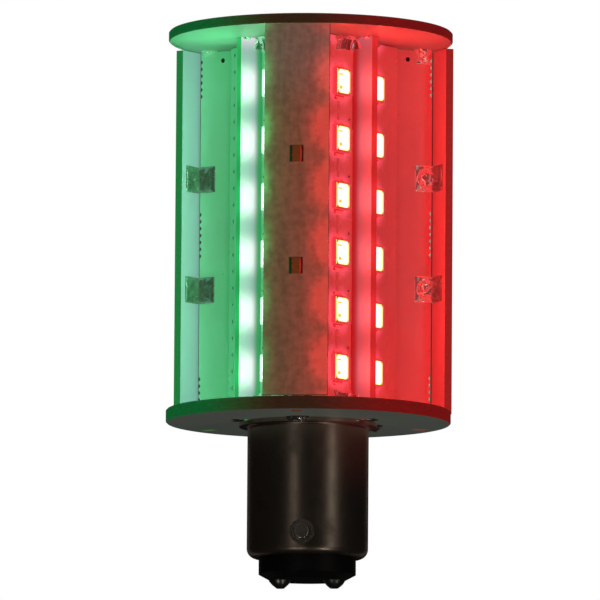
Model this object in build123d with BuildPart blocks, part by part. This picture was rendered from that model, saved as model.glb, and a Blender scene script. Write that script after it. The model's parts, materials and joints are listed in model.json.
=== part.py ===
"""Three-sector LED navigation lamp on a double-contact bayonet cap.

Three LED boards stand in a triangle between two round boards. A radial baffle divides each
sector from the next, and carries a lip at its outer edge that cuts the light off at the
sector's limit. The driver is inside the triangle, and a bayonet cap is below.

Frame: +Z is up, the bow is -Y, port is +X. The origin is on the cap's axis, at the height of
the lower bayonet pin, which is where a lampholder locates the lamp.
"""

from build123d import *
import os
from math import asin, cos, radians, sin, sqrt

# ---- round boards -----------------------------------------------------------------
DISC_D = 35.5
BASE_DISC_T = 1.6
TOP_DISC_T = 1.2
BASE_TOP_Z = 15.8  # upper face of the bottom disc, above the lower pin
DISC_GAP = 46.3  # clear height between the two discs
RIM_EASE = 0.15  # eased edge of a routed board

# ---- standing boards, all slotted into the discs ---------------------------------------
WALL_GAP = 0.12  # the walls stop this far under the top disc, apart from their shoulders
SHOULDER_EXTRA = 0.9  # a shoulder is this much wider than its tab
SLOT_CLEAR = 0.1  # round every tab in its slot
TAB_SHORT = 0.05  # a tab ends this far inside the far face of its slot

BAFFLE_T = 1.0
BAFFLE_IN_R = 7.6
BAFFLE_TAB_W = 1.7
BAFFLE_TAB_INSET = 0.41  # a tab's outer end, inside the baffle's outer edge
LIP_T = 1.0
LIP_W = 8.0
LIP_PROUD = 0.1  # the lips stand this far out of the discs' rims
LIP_FOOT_GAP = 0.12
BAFFLE_LIP_GAP = 0.3
LIP_TAB_H = 1.9
LIP_TAB_FOOT = 16.1  # the lower tab's middle, above the bottom disc
LIP_TAB_HEAD = 16.3  # the upper tab's middle, below the top disc
LIP_SLOT_W = 1.75

BITE_D = 0.48  # half-round notches that a panel's break-off webs leave
BITE_PITCH = 0.87
BITE_HEAD = 1.3  # the top row's first notch, below the top disc
BITE_FOOT = 1.4  # the bottom row's last notch, above the bottom disc
BITE_TAB_GAP = 3.2  # plain edge between the middle row and the tabs above and below it
BITE_HEAD_COUNT = 6
BITE_FOOT_COUNT = 5
TOOLING_HOLE_D = 0.6
TOOLING_HOLE_IN = 3.36  # from the baffle's outer edge
TOOLING_HOLE_DROP = 1.3  # from the top disc

BOARD_FACE_R = 6.9
BOARD_T = 1.0
BOARD_BAFFLE_GAP = 0.11  # from a board's back corner to the baffle beside it
BOARD_TAB_U = 2.2
BOARD_TAB_W = 1.8

FIN_T = 1.2
FIN_DEPTH = 2.9
FIN_TAB_W = 1.5
FIN_KEY_H = 4.0  # keys that lock the fin into its LED board
FIN_KEY_FOOT = 8.25  # the lower key's middle, above the bottom disc
FIN_KEY_HEAD = 9.45  # the upper key's middle, below the top disc

# ---- LEDs --------------------------------------------------------------------------
LED_W = 2.8
LED_L = 3.5
LED_H = 0.85
LED_U = 3.7
LED_FOOT = 4.7  # the lowest LED's middle, above the bottom disc
LED_HEAD = 5.9  # the highest LED's middle, below the top disc
LED_COUNT = 6
LED_WELL_W = 2.3
LED_WELL_L = 2.9
LED_WELL_DEPTH = 0.3
LED_EASE = 0.12

# ---- bayonet cap -------------------------------------------------------------------
SHELL_D = 15.1
SHELL_T = 0.35
SHELL_FLANGE_W = 1.05
SHELL_FLANGE_T = 0.5
SHELL_LIP_Z = -2.7
SHELL_LIP_BEND = 1.2
PIN_D = 2.0
PIN_STEM_D = 1.5
PIN_COLLAR_D = 3.1
PIN_COLLAR_T = 0.25
PIN_PROUD = 1.05
PIN_TIP_EASE = 0.25
PIN_DIMPLE_D = 0.8
PIN_DIMPLE_DEPTH = 0.15
PIN_STEP_Z = 3.0  # the second pin is this much higher, so the lamp goes in only one way round
PIN_STEM_IN = 1.65  # how far a pin's stem reaches inside the shell's outer face
INSULATOR_STEP = 1.5  # the insulator's end, smaller than the shell all round
INSULATOR_WALL = 0.85
INSULATOR_CHAMFER_H = 0.7
INSULATOR_CHAMFER_W = 1.3
INSULATOR_END_Z = -5.4
INSULATOR_TOP_Z = 5.2
INSULATOR_FLOOR_T = 1.9
CAP_CLEAR = 0.05  # between the insulator, the shell and the pins' stems

CONTACT_X = 3.35
CONTACT_D = 3.2
CONTACT_DOME_H = 1.0
CONTACT_SHANK_D = 1.6
CONTACT_HEAD_D = 2.6
CONTACT_HEAD_T = 0.3
LEAD_D = 1.0
LEAD_TOP_X = 2.6
LEAD_TOP_Y = 2.9
LEAD_STAND = 0.8  # end of a lead above the bottom disc
LEAD_BEND_R = 6.0

# ---- driver ------------------------------------------------------------------------
DRIVER_W = 10.6
DRIVER_T = 1.0
DRIVER_H = 38.0
DRIVER_TAB_X = 3.6
DRIVER_TAB_W = 1.8
CHOKE_D = 5.6
CHOKE_H = 3.8
CAN_D = 4.0
CAN_H = 4.3

# ---- solder ------------------------------------------------------------------------
LIP_SOLDER_LEG = 2.35
LIP_SOLDER_H = 3.4
TAB_SOLDER_H = 1.5
TAB_SOLDER_OUT = 0.9
FLANGE_SOLDER_R = 1.15
UNDER_SOLDER_OUT = 0.7  # past the fin tab's outer end
UNDER_SOLDER_T = 0.25
UNDER_SOLDER_GAP = 0.2  # off the cap's flange, and round the fin's tab

# ---- worked out from the values above --------------------------------------------------
BASE_BOTTOM_Z = BASE_TOP_Z - BASE_DISC_T
TOP_BOTTOM_Z = BASE_TOP_Z + DISC_GAP
TOP_TOP_Z = TOP_BOTTOM_Z + TOP_DISC_T
WALL_TOP_Z = TOP_BOTTOM_Z - WALL_GAP
WALL_H = WALL_TOP_Z - BASE_TOP_Z
LIP_OUT_R = DISC_D / 2 + LIP_PROUD
LIP_IN_R = LIP_OUT_R - LIP_T
LIP_TAB_Z = (BASE_TOP_Z + LIP_TAB_FOOT, TOP_BOTTOM_Z - LIP_TAB_HEAD)
BAFFLE_OUT_R = LIP_IN_R - BAFFLE_LIP_GAP
BAFFLE_TAB_R = BAFFLE_OUT_R - BAFFLE_TAB_INSET - BAFFLE_TAB_W / 2
BOARD_BACK_R = BOARD_FACE_R - BOARD_T
BOARD_MID_R = BOARD_FACE_R - BOARD_T / 2
SECTOR_HALF = radians(60)  # from the middle of an LED board to the baffle beside it
BOARD_HALF_W = (BOARD_BACK_R * sin(SECTOR_HALF) - BAFFLE_T / 2 - BOARD_BAFFLE_GAP) / cos(SECTOR_HALF)
FIN_OUT_R = BOARD_FACE_R + FIN_DEPTH
FIN_TAB_R = FIN_OUT_R - FIN_TAB_W / 2
FIN_KEY_Z = (BASE_TOP_Z + FIN_KEY_FOOT, TOP_BOTTOM_Z - FIN_KEY_HEAD)
SHELL_R = SHELL_D / 2
SHELL_IN_R = SHELL_R - SHELL_T
FLANGE_R = SHELL_R + SHELL_FLANGE_W
INSULATOR_R = SHELL_R - INSULATOR_STEP
POCKET_R = INSULATOR_R - INSULATOR_WALL
PIN_TIP_R = SHELL_R + PIN_PROUD
PIN_STEM_IN_R = SHELL_R - PIN_STEM_IN
LED_PITCH = (DISC_GAP - LED_FOOT - LED_HEAD) / (LED_COUNT - 1)
LED_Z = [BASE_TOP_Z + LED_FOOT + LED_PITCH * row for row in range(LED_COUNT)]

bite_room = LIP_TAB_Z[1] - LIP_TAB_Z[0] - LIP_TAB_H - 2 * BITE_TAB_GAP
bite_middle_count = max(0, int(bite_room / BITE_PITCH) + 1)
bite_middle_top = sum(LIP_TAB_Z) / 2 + BITE_PITCH * (bite_middle_count - 1) / 2
BITE_ROWS = (  # height of each row's top notch, and its count
    (TOP_BOTTOM_Z - BITE_HEAD, BITE_HEAD_COUNT),
    (bite_middle_top, bite_middle_count),
    (BASE_TOP_Z + BITE_FOOT + BITE_PITCH * (BITE_FOOT_COUNT - 1), BITE_FOOT_COUNT),
)

BAFFLES = {"bow": 0, "port": 120, "starboard": -120}  # azimuth from the bow, port positive
SECTORS = {"port": 60, "starboard": -60, "stern": 180}

os.makedirs("parts", exist_ok=True)


def save(piece, name):
    """Label a finished piece and write it under its node name."""
    piece.label = name
    export_step(piece, f"parts/{name}.step")


def outward(azimuth):
    """Unit vector from the axis at an azimuth measured from the bow."""
    return Vector(sin(radians(azimuth)), -cos(radians(azimuth)), 0)


def sideways(azimuth):
    """Unit vector square to outward(), turning towards port from the bow."""
    return Vector(cos(radians(azimuth)), sin(radians(azimuth)), 0)


def radial_plane(azimuth):
    """Upright plane through the axis: local x is the radius, local y is the height."""
    return Plane(origin=(0, 0, 0), x_dir=outward(azimuth), z_dir=-sideways(azimuth))


def facing_plane(azimuth, radius):
    """Upright plane square to the radius: local x is sideways, local y is the height."""
    return Plane(origin=outward(azimuth) * radius, x_dir=sideways(azimuth), z_dir=outward(azimuth))


def block(low_x, high_x, low_y, high_y, mode=Mode.ADD):
    """A rectangle in the sketch being drawn, given by its edges."""
    with Locations(((low_x + high_x) / 2, (low_y + high_y) / 2)):
        Rectangle(high_x - low_x, high_y - low_y, mode=mode)


def wall_outline(low, high, tab_centres, tab_width):
    """A standing board's outline, with tabs below, and shoulders and tabs above."""
    block(low, high, BASE_TOP_Z, WALL_TOP_Z)
    for centre in tab_centres:
        half = tab_width / 2
        shoulder = half + SHOULDER_EXTRA / 2
        left = max(low, centre - shoulder)
        right = min(high, centre + shoulder)
        block(centre - half, centre + half, BASE_BOTTOM_Z + TAB_SHORT, BASE_TOP_Z)
        block(left, right, WALL_TOP_Z, TOP_BOTTOM_Z)
        block(centre - half, centre + half, TOP_BOTTOM_Z, TOP_TOP_Z - TAB_SHORT)


def cut_slot(width, height):
    """A tab's slot in the sketch being drawn, with clearance all round."""
    Rectangle(width + 2 * SLOT_CLEAR, height + 2 * SLOT_CLEAR, mode=Mode.SUBTRACT)


def cut_wall_slots():
    """Slots of the baffles, LED boards and fins, in the disc being drawn."""
    with PolarLocations(BAFFLE_TAB_R, 3, start_angle=-90):
        cut_slot(BAFFLE_TAB_W, BAFFLE_T)
    with PolarLocations(FIN_TAB_R, 3, start_angle=-30):
        cut_slot(FIN_TAB_W, FIN_T)
    for side in (-1, 1):
        with PolarLocations(0, 3, start_angle=-30):
            with Locations((BOARD_MID_R, side * BOARD_TAB_U)):
                cut_slot(BOARD_T, BOARD_TAB_W)


def cut_bites(edge):
    """Rows of half-round notches down one upright edge of the board being drawn."""
    for top_notch, count in BITE_ROWS:
        for i in range(count):
            with Locations((edge, top_notch - BITE_PITCH * i)):
                Circle(BITE_D / 2, mode=Mode.SUBTRACT)


# ---- the two round boards ------------------------------------------------------------
with BuildPart() as bottom_disc:
    with BuildSketch(Plane.XY.offset(BASE_BOTTOM_Z)):
        Circle(DISC_D / 2)
        cut_wall_slots()
        with Locations((-DRIVER_TAB_X, 0), (DRIVER_TAB_X, 0)):
            cut_slot(DRIVER_TAB_W, DRIVER_T)
        with Locations((-LEAD_TOP_X, LEAD_TOP_Y), (LEAD_TOP_X, LEAD_TOP_Y)):
            Circle(LEAD_D / 2 + SLOT_CLEAR, mode=Mode.SUBTRACT)
    extrude(amount=BASE_DISC_T)
    rim = bottom_disc.edges().filter_by(GeomType.CIRCLE).filter_by(lambda e: e.radius > DISC_D / 3)
    chamfer(rim, RIM_EASE)
save(bottom_disc.part, "bottom_disc")

with BuildPart() as top_disc:
    with BuildSketch(Plane.XY.offset(TOP_BOTTOM_Z)):
        Circle(DISC_D / 2)
        cut_wall_slots()
    extrude(amount=TOP_DISC_T)
    rim = top_disc.edges().filter_by(GeomType.CIRCLE).filter_by(lambda e: e.radius > DISC_D / 3)
    chamfer(rim, RIM_EASE)
save(top_disc.part, "top_disc")

# ---- baffles and their lips ----------------------------------------------------------
for side, azimuth in BAFFLES.items():
    with BuildPart() as baffle:
        with BuildSketch(radial_plane(azimuth)):
            wall_outline(BAFFLE_IN_R, BAFFLE_OUT_R, [BAFFLE_TAB_R], BAFFLE_TAB_W)
            for height in LIP_TAB_Z:
                low, high = height - LIP_TAB_H / 2, height + LIP_TAB_H / 2
                block(BAFFLE_OUT_R, LIP_OUT_R - TAB_SHORT, low, high)
            cut_bites(BAFFLE_OUT_R)
            with Locations((BAFFLE_OUT_R - TOOLING_HOLE_IN, TOP_BOTTOM_Z - TOOLING_HOLE_DROP)):
                Circle(TOOLING_HOLE_D / 2, mode=Mode.SUBTRACT)
        extrude(amount=BAFFLE_T / 2, both=True)
    save(baffle.part, f"{side}_baffle")

    with BuildPart() as lip:
        with BuildSketch(facing_plane(azimuth, LIP_IN_R)):
            block(-LIP_W / 2, LIP_W / 2, BASE_TOP_Z + LIP_FOOT_GAP, WALL_TOP_Z)
            for height in LIP_TAB_Z:
                half = LIP_TAB_H / 2 + SLOT_CLEAR
                block(-LIP_SLOT_W / 2, LIP_SLOT_W / 2, height - half, height + half, Mode.SUBTRACT)
        extrude(amount=LIP_T)
    save(lip.part, f"{side}_lip")

# ---- LED boards, their fins and their LEDs -----------------------------------------------
for side, azimuth in SECTORS.items():
    with BuildPart() as led_board:
        with BuildSketch(facing_plane(azimuth, BOARD_BACK_R)):
            wall_outline(-BOARD_HALF_W, BOARD_HALF_W, [-BOARD_TAB_U, BOARD_TAB_U], BOARD_TAB_W)
            with Locations(*[(0, height) for height in FIN_KEY_Z]):
                cut_slot(FIN_T, FIN_KEY_H)
            for edge in (-BOARD_HALF_W, BOARD_HALF_W):
                cut_bites(edge)
        extrude(amount=BOARD_T)
    save(led_board.part, f"{side}_led_board")

    with BuildPart() as fin:
        with BuildSketch(radial_plane(azimuth)):
            wall_outline(BOARD_FACE_R, FIN_OUT_R, [FIN_TAB_R], FIN_TAB_W)
            for height in FIN_KEY_Z:
                low, high = height - FIN_KEY_H / 2, height + FIN_KEY_H / 2
                block(BOARD_BACK_R, BOARD_FACE_R, low, high)
        extrude(amount=FIN_T / 2, both=True)
    save(fin.part, f"{side}_fin")

    led_places = [(u, z) for u in (-LED_U, LED_U) for z in LED_Z]
    with BuildPart() as led_bodies:
        with BuildSketch(facing_plane(azimuth, BOARD_FACE_R)):
            with Locations(*led_places):
                Rectangle(LED_W, LED_L)
        extrude(amount=LED_H)
        chamfer(led_bodies.edges().filter_by(Axis.Z), LED_EASE)
        with BuildSketch(facing_plane(azimuth, BOARD_FACE_R + LED_H)):
            with Locations(*led_places):
                Rectangle(LED_WELL_W, LED_WELL_L)
        extrude(amount=-LED_WELL_DEPTH, mode=Mode.SUBTRACT)
    save(led_bodies.part, f"{side}_led_bodies")

    with BuildPart() as led_windows:
        with BuildSketch(facing_plane(azimuth, BOARD_FACE_R + LED_H - LED_WELL_DEPTH)):
            with Locations(*led_places):
                Rectangle(LED_WELL_W, LED_WELL_L)
        extrude(amount=LED_WELL_DEPTH)
    save(led_windows.part, f"{side}_led_windows")

# ---- bayonet cap -------------------------------------------------------------------
lip_mouth_r = INSULATOR_R + 2 * CAP_CLEAR
bend_in_r = SHELL_LIP_BEND - SHELL_T
bend_centre = (SHELL_R - SHELL_LIP_BEND, SHELL_LIP_Z + SHELL_LIP_BEND)
bend_45 = sqrt(0.5)

with BuildPart() as base_shell:
    with BuildSketch(Plane.XZ):
        with BuildLine():
            Polyline(
                (lip_mouth_r, SHELL_LIP_Z + SHELL_T),
                (lip_mouth_r, SHELL_LIP_Z),
                (bend_centre[0], SHELL_LIP_Z),
            )
            ThreePointArc(
                (bend_centre[0], SHELL_LIP_Z),
                (bend_centre[0] + SHELL_LIP_BEND * bend_45, bend_centre[1] - SHELL_LIP_BEND * bend_45),
                (SHELL_R, bend_centre[1]),
            )
            Polyline(
                (SHELL_R, bend_centre[1]),
                (SHELL_R, BASE_BOTTOM_Z - SHELL_FLANGE_T),
                (FLANGE_R, BASE_BOTTOM_Z - SHELL_FLANGE_T),
                (FLANGE_R, BASE_BOTTOM_Z),
                (SHELL_IN_R, BASE_BOTTOM_Z),
                (SHELL_IN_R, bend_centre[1]),
            )
            ThreePointArc(
                (SHELL_IN_R, bend_centre[1]),
                (bend_centre[0] + bend_in_r * bend_45, bend_centre[1] - bend_in_r * bend_45),
                (bend_centre[0], SHELL_LIP_Z + SHELL_T),
            )
            Line((bend_centre[0], SHELL_LIP_Z + SHELL_T), (lip_mouth_r, SHELL_LIP_Z + SHELL_T))
        make_face()
    revolve(axis=Axis.Z)
    neck = base_shell.edges().filter_by(GeomType.CIRCLE).filter_by(
        lambda e: abs(e.radius - SHELL_R) < 0.01 and e.center().Z > BASE_BOTTOM_Z / 2
    )
    fillet(neck, SHELL_T)
    for azimuth, height in ((0, 0), (180, PIN_STEP_Z)):
        with BuildSketch(facing_plane(azimuth, SHELL_IN_R - SHELL_T)):
            with Locations((0, height)):
                Circle(PIN_STEM_D / 2 + CAP_CLEAR)
        extrude(amount=3 * SHELL_T, mode=Mode.SUBTRACT)
save(base_shell.part, "base_shell")

with BuildPart() as base_insulator:
    with BuildSketch(Plane.XZ):
        with BuildLine():
            Polyline(
                (0, INSULATOR_END_Z),
                (INSULATOR_R - INSULATOR_CHAMFER_W, INSULATOR_END_Z),
                (INSULATOR_R, INSULATOR_END_Z + INSULATOR_CHAMFER_H),
                (INSULATOR_R, SHELL_LIP_Z + SHELL_T),
                (bend_centre[0], SHELL_LIP_Z + SHELL_T),
                (SHELL_IN_R - CAP_CLEAR, bend_centre[1]),
                (SHELL_IN_R - CAP_CLEAR, INSULATOR_TOP_Z),
                (POCKET_R, INSULATOR_TOP_Z),
                (POCKET_R, INSULATOR_END_Z + INSULATOR_FLOOR_T),
                (0, INSULATOR_END_Z + INSULATOR_FLOOR_T),
                close=True,
            )
        make_face()
    revolve(axis=Axis.Z)
    with BuildSketch(Plane.XY.offset(INSULATOR_END_Z)):
        with Locations((-CONTACT_X, 0), (CONTACT_X, 0)):
            Circle(CONTACT_SHANK_D / 2 + CAP_CLEAR)
    extrude(amount=INSULATOR_FLOOR_T, mode=Mode.SUBTRACT)
    for azimuth, height in ((0, 0), (180, PIN_STEP_Z)):
        with BuildSketch(facing_plane(azimuth, PIN_STEM_IN_R - CAP_CLEAR)):
            with Locations((0, height)):
                Circle(PIN_STEM_D / 2 + CAP_CLEAR)
        extrude(amount=SHELL_R - PIN_STEM_IN_R, mode=Mode.SUBTRACT)
save(base_insulator.part, "base_insulator")

for name, azimuth, height in (("lower_bayonet_pin", 0, 0), ("upper_bayonet_pin", 180, PIN_STEP_Z)):
    with BuildPart() as bayonet_pin:
        with BuildSketch(facing_plane(azimuth, SHELL_IN_R)):
            with Locations((0, height)):
                Circle(PIN_COLLAR_D / 2)
        extrude(amount=SHELL_T + PIN_COLLAR_T)
        with Locations((0, 0, height)):
            Cylinder(SHELL_R, 2 * PIN_COLLAR_D, mode=Mode.SUBTRACT)  # the collar sits on the round shell
        with BuildSketch(facing_plane(azimuth, PIN_STEM_IN_R)):
            with Locations((0, height)):
                Circle(PIN_STEM_D / 2)
        extrude(amount=SHELL_R + PIN_COLLAR_T - PIN_STEM_IN_R)
        with BuildSketch(facing_plane(azimuth, SHELL_R + PIN_COLLAR_T)):
            with Locations((0, height)):
                Circle(PIN_D / 2)
        extrude(amount=PIN_TIP_R - SHELL_R - PIN_COLLAR_T)
        tip = bayonet_pin.edges().filter_by(GeomType.CIRCLE).sort_by_distance((0, 0, height))[-1]
        fillet(tip, PIN_TIP_EASE)
        with BuildSketch(facing_plane(azimuth, PIN_TIP_R)):
            with Locations((0, height)):
                Circle(PIN_DIMPLE_D / 2)
        extrude(amount=-PIN_DIMPLE_DEPTH, mode=Mode.SUBTRACT)
    save(bayonet_pin.part, name)

# ---- contacts and supply leads -----------------------------------------------------------
floor_top_z = INSULATOR_END_Z + INSULATOR_FLOOR_T
dome_r = ((CONTACT_D / 2) ** 2 + CONTACT_DOME_H**2) / (2 * CONTACT_DOME_H)
dome_centre_z = INSULATOR_END_Z - CONTACT_DOME_H + dome_r
dome_half = asin(CONTACT_D / 2 / dome_r) / 2  # angle to the middle of the dome's arc
for name, side in (("port", 1), ("starboard", -1)):
    with BuildPart() as contact:
        with BuildSketch(Plane.XZ):
            with BuildLine():
                Line((0, INSULATOR_END_Z - CONTACT_DOME_H), (0, floor_top_z + CONTACT_HEAD_T))
                Polyline(
                    (0, floor_top_z + CONTACT_HEAD_T),
                    (CONTACT_HEAD_D / 2, floor_top_z + CONTACT_HEAD_T),
                    (CONTACT_HEAD_D / 2, floor_top_z),
                    (CONTACT_SHANK_D / 2, floor_top_z),
                    (CONTACT_SHANK_D / 2, INSULATOR_END_Z),
                    (CONTACT_D / 2, INSULATOR_END_Z),
                )
                ThreePointArc(
                    (CONTACT_D / 2, INSULATOR_END_Z),
                    (dome_r * sin(dome_half), dome_centre_z - dome_r * cos(dome_half)),
                    (0, INSULATOR_END_Z - CONTACT_DOME_H),
                )
            make_face()
        revolve(axis=Axis.Z)
    save(contact.part.moved(Location((side * CONTACT_X, 0, 0))), f"{name}_contact")

    lead_foot_z = floor_top_z + CONTACT_HEAD_T
    with BuildPart() as supply_lead:
        with BuildLine() as route:
            FilletPolyline(
                (side * CONTACT_X, 0, lead_foot_z),
                (side * CONTACT_X, 0, lead_foot_z + 5.5),
                (side * LEAD_TOP_X, LEAD_TOP_Y, BASE_BOTTOM_Z - 4.5),
                (side * LEAD_TOP_X, LEAD_TOP_Y, BASE_TOP_Z + LEAD_STAND),
                radius=LEAD_BEND_R,
            )
        with BuildSketch(Plane(origin=(side * CONTACT_X, 0, lead_foot_z))):
            Circle(LEAD_D / 2)
        sweep(path=route.wires()[0])
    save(supply_lead.part, f"{name}_supply_lead")

with BuildPart() as lead_solder:
    for side in (-1, 1):
        centre = Location((side * LEAD_TOP_X, LEAD_TOP_Y, BASE_TOP_Z))
        with Locations(centre):
            Cone(LEAD_D, LEAD_D / 2 + SLOT_CLEAR, LEAD_STAND, align=(Align.CENTER, Align.CENTER, Align.MIN))
            Cylinder(
                LEAD_D / 2,
                LEAD_STAND,
                align=(Align.CENTER, Align.CENTER, Align.MIN),
                mode=Mode.SUBTRACT,
            )
save(lead_solder.part, "lead_solder")

# ---- driver ------------------------------------------------------------------------
DRIVER_FACE_BOW = Plane(origin=(0, -DRIVER_T / 2, 0), x_dir=(1, 0, 0), z_dir=(0, -1, 0))
DRIVER_FACE_STERN = Plane(origin=(0, DRIVER_T / 2, 0), x_dir=(-1, 0, 0), z_dir=(0, 1, 0))

with BuildPart() as driver_board:
    with BuildSketch(DRIVER_FACE_BOW):
        block(-DRIVER_W / 2, DRIVER_W / 2, BASE_TOP_Z, BASE_TOP_Z + DRIVER_H)
        for x in (-DRIVER_TAB_X, DRIVER_TAB_X):
            half = DRIVER_TAB_W / 2
            block(x - half, x + half, BASE_BOTTOM_Z + TAB_SHORT, BASE_TOP_Z)
    extrude(amount=-DRIVER_T)
save(driver_board.part, "driver_board")

CHOKE_Z = BASE_TOP_Z + 16.0
with BuildPart() as choke:
    flange_t = CHOKE_H / 5
    for start, radius, length in (
        (0, CHOKE_D / 2, flange_t),
        (flange_t, CHOKE_D / 2 - 0.35, CHOKE_H - 2 * flange_t),
        (CHOKE_H - flange_t, CHOKE_D / 2, flange_t),
    ):
        with BuildSketch(DRIVER_FACE_BOW.offset(start)):
            with Locations((0, CHOKE_Z)):
                Circle(radius)
        extrude(amount=length)
save(choke.part, "driver_choke")

CAN_Z = BASE_TOP_Z + 27.0
with BuildPart() as input_capacitor:
    with BuildSketch(DRIVER_FACE_STERN):
        with Locations((0, CAN_Z)):
            RectangleRounded(CAN_D + 0.3, CAN_D + 0.3, 0.4)
    extrude(amount=0.6)
    with BuildSketch(DRIVER_FACE_STERN.offset(0.6)):
        with Locations((0, CAN_Z)):
            Circle(CAN_D / 2)
    extrude(amount=CAN_H - 0.6)
    fillet(input_capacitor.faces().sort_by(Axis.Y)[-1].edges(), 0.3)
save(input_capacitor.part, "input_capacitor")


def chip(plane, centre, body, height, lead_pitch, lead_rows):
    """A moulded package lying on plane, with square-cut leads along its two long sides."""
    width, length = body
    with BuildPart() as package:
        with BuildSketch(plane):
            with Locations(centre):
                Rectangle(width, length)
                with GridLocations(0, lead_pitch, 1, lead_rows):
                    Rectangle(width + 2.0, lead_pitch / 3)
        extrude(amount=0.25)
        with BuildSketch(plane.offset(0.25)):
            with Locations(centre):
                Rectangle(width, length)
        extrude(amount=height - 0.25)
    return package.part


def chips(plane, centres, size, height):
    """Plain rectangular chips, such as resistors, in a row on plane."""
    with BuildPart() as row:
        with BuildSketch(plane):
            with Locations(*centres):
                Rectangle(*size)
        extrude(amount=height)
        chamfer(row.faces().filter_by(Plane(plane.origin, z_dir=plane.z_dir)).edges(), 0.06)
    return row.part


driver_ic = chip(DRIVER_FACE_STERN, (0, BASE_TOP_Z + 17.0), (3.9, 4.9), 1.5, 1.27, 4)
save(driver_ic, "driver_chip")
rectifier = chip(DRIVER_FACE_BOW, (0, BASE_TOP_Z + 27.0), (3.8, 4.6), 2.4, 2.5, 2)
save(rectifier, "bridge_rectifier")

sense_places = [(x, BASE_TOP_Z + 8.0) for x in (-2.6, 0, 2.6)]
save(chips(DRIVER_FACE_BOW, sense_places, (1.6, 3.2), 0.55), "sense_resistors")
filter_places = [(x, BASE_TOP_Z + 34.5) for x in (-2.2, 2.2)]
save(chips(DRIVER_FACE_STERN, filter_places, (2.5, 3.2), 1.6), "filter_capacitors")

# ---- solder joints -------------------------------------------------------------------
with BuildPart() as lip_solder:
    for azimuth in BAFFLES.values():
        for height in LIP_TAB_Z:
            level = Plane(
                origin=(0, 0, height - LIP_SOLDER_H / 2), x_dir=outward(azimuth), z_dir=(0, 0, 1)
            )
            with BuildSketch(level):
                for side in (-1, 1):
                    root = (LIP_IN_R, side * BAFFLE_T / 2)
                    along = (LIP_IN_R - LIP_SOLDER_LEG, side * BAFFLE_T / 2)
                    across = (LIP_IN_R, side * (BAFFLE_T / 2 + LIP_SOLDER_LEG))
                    belly = LIP_SOLDER_LEG * 0.42
                    middle = (LIP_IN_R - belly, side * (BAFFLE_T / 2 + belly))
                    with BuildLine():
                        Polyline(along, root, across)
                        ThreePointArc(across, middle, along)
                    make_face()
            extrude(amount=LIP_SOLDER_H)
save(lip_solder.part, "lip_solder")


def wall_side(azimuth, side, thickness):
    """One face of a radial wall of this thickness, with local x along the radius."""
    normal = sideways(azimuth) * side
    return Plane(origin=normal * (thickness / 2), x_dir=outward(azimuth), z_dir=normal)


def corner_wedges(face, centre_x, width):
    """Planes and outlines of the wedges that join a wall's face to the discs above and below."""
    corner = face.origin + face.x_dir * (centre_x - width / 2)
    end = Plane(origin=corner, x_dir=face.z_dir, z_dir=face.x_dir)
    up = round(end.y_dir.Z)
    for disc_z, tip_z in (
        (TOP_BOTTOM_Z, TOP_BOTTOM_Z - TAB_SOLDER_H),
        (BASE_TOP_Z, BASE_TOP_Z + TAB_SOLDER_H),
    ):
        yield end, [(0, up * disc_z), (TAB_SOLDER_OUT, up * disc_z), (0, up * tip_z)]


CORNER_JOINTS = {
    "baffle_solder": [
        (wall_side(azimuth, side, BAFFLE_T), BAFFLE_TAB_R, BAFFLE_TAB_W)
        for azimuth in BAFFLES.values()
        for side in (-1, 1)
    ],
    "board_solder": [
        (facing_plane(azimuth, BOARD_FACE_R), side * BOARD_TAB_U, BOARD_TAB_W)
        for azimuth in SECTORS.values()
        for side in (-1, 1)
    ],
    "fin_solder": [
        (wall_side(azimuth, side, FIN_T), FIN_TAB_R, FIN_TAB_W)
        for azimuth in SECTORS.values()
        for side in (-1, 1)
    ],
}
for name, corners in CORNER_JOINTS.items():
    with BuildPart() as corner_solder:
        for face, centre, width in corners:
            for end, outline in corner_wedges(face, centre, width):
                with BuildSketch(end):
                    with BuildLine():
                        Polyline(*outline, close=True)
                    make_face()
                extrude(amount=width)
    save(corner_solder.part, name)

under_in_r = max(FLANGE_R, FIN_TAB_R - FIN_TAB_W / 2) + UNDER_SOLDER_GAP
under_out_r = max(under_in_r, FIN_OUT_R) + UNDER_SOLDER_OUT
under_l = under_out_r - under_in_r
under_w = FIN_T + 2 * UNDER_SOLDER_GAP
with BuildPart() as fin_tab_solder:
    with BuildSketch(Plane.XY.offset(BASE_BOTTOM_Z - UNDER_SOLDER_T)):
        with PolarLocations((under_in_r + under_out_r) / 2, 3, start_angle=-30):
            RectangleRounded(under_l, under_w, min(under_l, under_w) / 3)
    extrude(amount=UNDER_SOLDER_T)
save(fin_tab_solder.part, "fin_tab_solder")

with BuildPart() as flange_solder:
    with BuildSketch(Plane.XY.offset(BASE_BOTTOM_Z - SHELL_FLANGE_T)):
        with PolarLocations(FLANGE_R, 3, start_angle=-100):
            Circle(FLANGE_SOLDER_R)
        Circle(FLANGE_R, mode=Mode.SUBTRACT)
    extrude(amount=SHELL_FLANGE_T)
save(flange_solder.part, "flange_solder")
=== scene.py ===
"""Looks of a three-sector LED navigation lamp on a double-contact bayonet cap.

Everything is in metres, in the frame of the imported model: +Z is up, the bow is -Y and port
is +X. The circuit boards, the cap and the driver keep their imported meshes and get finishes.
LED packages, solder joints, pads and vias are built here, in places measured on those meshes.
"""

import json
import logging
import math
from collections.abc import Callable, Iterable, Sequence
from dataclasses import dataclass, field
from enum import Enum

import bmesh
import bpy
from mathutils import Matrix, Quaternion, Vector, noise

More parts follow.
